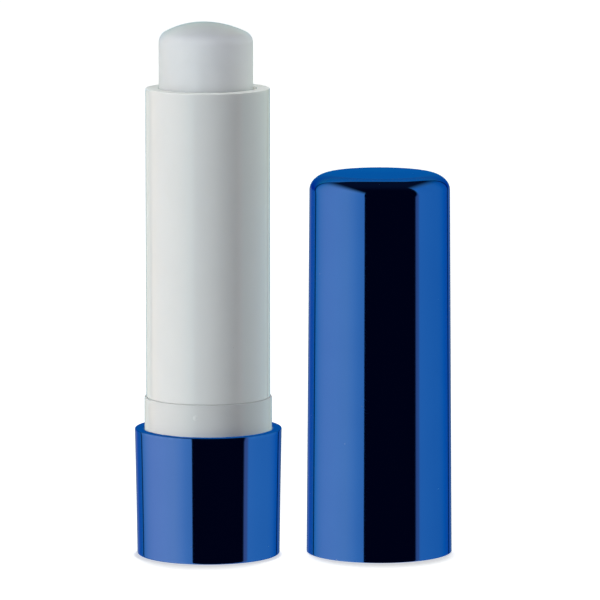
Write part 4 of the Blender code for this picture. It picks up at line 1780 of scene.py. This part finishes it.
    @staticmethod
    def _bright_ramp(sheet: Sheet, value: Wire, places: Ramp) -> Wire:
        """A ramp of colours that may be brighter than white.

        Args:
            sheet: The world's sheet.
            value: What the ramp follows, from 0 to 1.
            places: Where each colour stands, and the colour.

        Returns:
            The colour.
        """
        ramp = sheet.put("ShaderNodeValToRGB", {0: value})
        stops = ramp.color_ramp.elements
        while len(stops) > 1:
            stops.remove(stops[0])
        peak = max(max(colour) for _, colour in places)
        for count, (place, colour) in enumerate(places):
            stop = stops[0] if count == 0 else stops.new(place)
            stop.position = place
            stop.color = (*(part / peak for part in colour), 1.0)
        colours = Wire(sheet, ramp.outputs["Color"])
        return sheet.get("ShaderNodeVectorMath", {0: colours, "Scale": peak}, operation="SCALE")

    def surround(self) -> None:
        """Sets the world: white to the camera, the lit walls to gloss, and a faint even light to the rest."""
        world = bpy.data.worlds.new("studio")
        bpy.context.scene.world = world
        world.use_nodes = True
        world.node_tree.nodes.clear()
        sheet = Sheet(world.node_tree)
        direction = sheet.get("ShaderNodeTexCoord", out="Generated")
        way = sheet.outs("ShaderNodeSeparateXYZ", {"Vector": direction})
        x, y, z = (way[name] for name in "XYZ")
        masks = [self._panel_masks(sheet, way, panel) for panel in self.panels]
        boards, walls = (sheet.math("MAXIMUM", *pair) for pair in zip(*masks))
        walls = walls * sheet.rise(y * self.wall_rise - z, -self.horizon, self.horizon)
        turn = sheet.math("ARCTAN2", x, y * -1.0) / math.tau + 0.5
        tones = tuple((azimuth / 360 + 0.5, colour) for azimuth, colour in self.tones)
        flat = sheet.math("SQRT", x * x + y * y)
        slope = z / sheet.math("MAXIMUM", flat, self.least_flat)
        over = sheet.rise(slope, -self.horizon, self.horizon) * (1.0 - boards)
        ring = self._bright_ramp(sheet, turn, tones)
        bright = sheet.blend(over, ring, self._bright_ramp(sheet, slope, self.bands))
        glow = sheet.rise(y + z, self.overhead_start, self.overhead_end, 0.0, self.overhead)
        dim_parts = {0: self.front_glow, 1: sheet.vector(glow, glow, glow)}
        dim = sheet.get("ShaderNodeVectorMath", dim_parts, operation="ADD")
        shown = sheet.blend(sheet.math("MAXIMUM", boards, walls), dim, bright)
        path = sheet.outs("ShaderNodeLightPath")
        glossy = sheet.blend(path["Is Glossy Ray"], self.ambient, shown)
        straight = sheet.math("MAXIMUM", path["Is Camera Ray"], path["Is Transmission Ray"])
        whole = sheet.blend(straight, glossy, (1.0, 1.0, 1.0))
        background = sheet.get("ShaderNodeBackground", {"Color": whole, "Strength": 1.0})
        sheet.put("ShaderNodeOutputWorld", {"Surface": background})

    def build(self, stick: list[Piece], cap: list[Piece], sleeve: Piece, balm: Piece) -> None:
        """Sets up the whole studio round the pieces.

        Args:
            stick: The stick's pieces.
            cap: The cap's pieces.
            sleeve: The stick's outer sleeve, whose lip has its own lamp.
            balm: The balm, which has its own lamps.
        """
        self.place_camera()
        floor = self.lay_floor()
        lit = {Lit.STICK: stick, Lit.SLEEVE: [sleeve], Lit.BALM: [balm], Lit.GROUND: [*cap, floor]}
        self.hang_lamps(lit, {kind: stick for kind in Lit} | {Lit.GROUND: [*stick, *cap]})
        self.surround()
        bpy.context.scene.view_settings.view_transform = "Standard"


def clear_startup() -> None:
    """Removes what Blender's startup scene holds, and keeps the frame."""
    kept = set(frame["nodes"].values()) | set(frame["bodies"].values())
    for obj in list(bpy.data.objects):
        if obj not in kept:
            bpy.data.objects.remove(obj, do_unlink=True)


def axis_of(node: str) -> Vector:
    """Where a round CAD node's axis meets the ground."""
    low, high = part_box(node)
    return Vector(((low.x + high.x) / 2, (low.y + high.y) / 2, 0.0))


def main() -> None:
    """Builds the pieces in order and the studio round them."""
    logging.basicConfig(level=logging.INFO, format="%(name)s: %(message)s", stream=sys.stdout)
    clear_startup()
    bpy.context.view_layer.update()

    def plain(name: str, colour: Colour, shade: Colour, **sizes: float) -> Sides:
        """Both sides of one moulded plastic."""
        material = MouldedPlastic(name, colour, shade, **sizes).material()
        return Sides(material, material)

    # One lacquer in two copies. The base's copy is paler and the cap's deeper: painted light that stands in for the
    # brighter light the base reflects.
    base_blue_painted_paler = MetallisedLacquer("base_blue_lacquer", (0.042, 0.122, 0.405), (0.040, 0.118, 0.395)).material()
    cap_blue_painted_deeper = MetallisedLacquer("cap_blue_lacquer", (0.0285, 0.110, 0.390), (0.0275, 0.106, 0.381)).material()
    dark, darker, dust = (0.030, 0.075, 0.240), (0.026, 0.066, 0.215), (0.2, 0.24, 0.3)
    bare_blue = MouldedPlastic("inner_blue_plastic", dark, darker, dust=dust, roughness=0.34).material()
    sleeve_side = plain("sleeve_white_plastic", (0.80, 0.81, 0.805), (0.79, 0.801, 0.796), roughness=0.05)
    collar_side = plain("collar_white_plastic", (0.795, 0.802, 0.795), (0.78, 0.788, 0.781))
    # The nubs' white is paler than the collar's: a painted highlight that stands in for the glint on each nub.
    nub_highlight_side = plain("nub_white_plastic", (0.90, 0.905, 0.895), (0.88, 0.885, 0.875), roughness=0.05)
    inner_side = plain("inner_white_plastic", (0.74, 0.745, 0.73), (0.70, 0.71, 0.695), roughness=0.38, depth=0.3)
    wax = PouredWax("balm_wax").material()

    shop = Workshop(axis_of("base_cup"))
    drive = DriveScrew(shop, inner_side)
    barrel = Barrel(shop, collar_side, nub_highlight_side, sleeve_side)
    lift = Lift(shop, inner_side, Sides(wax, wax))
    stick = [TurnBase(shop, Sides(base_blue_painted_paler, bare_blue)).build(), drive.build()]
    stick += [barrel.build_guide(), barrel.build_nubs()]
    sleeve = barrel.build_sleeve()
    carrier = lift.build_carrier(drive)
    balm = lift.build_balm()
    stick += [sleeve, carrier, balm]
    cap = [Cap(Workshop(axis_of("cap")), Sides(cap_blue_painted_deeper, bare_blue)).build()]
    Studio().build(stick, cap, sleeve, balm)


if __name__ == "__main__":
    main()
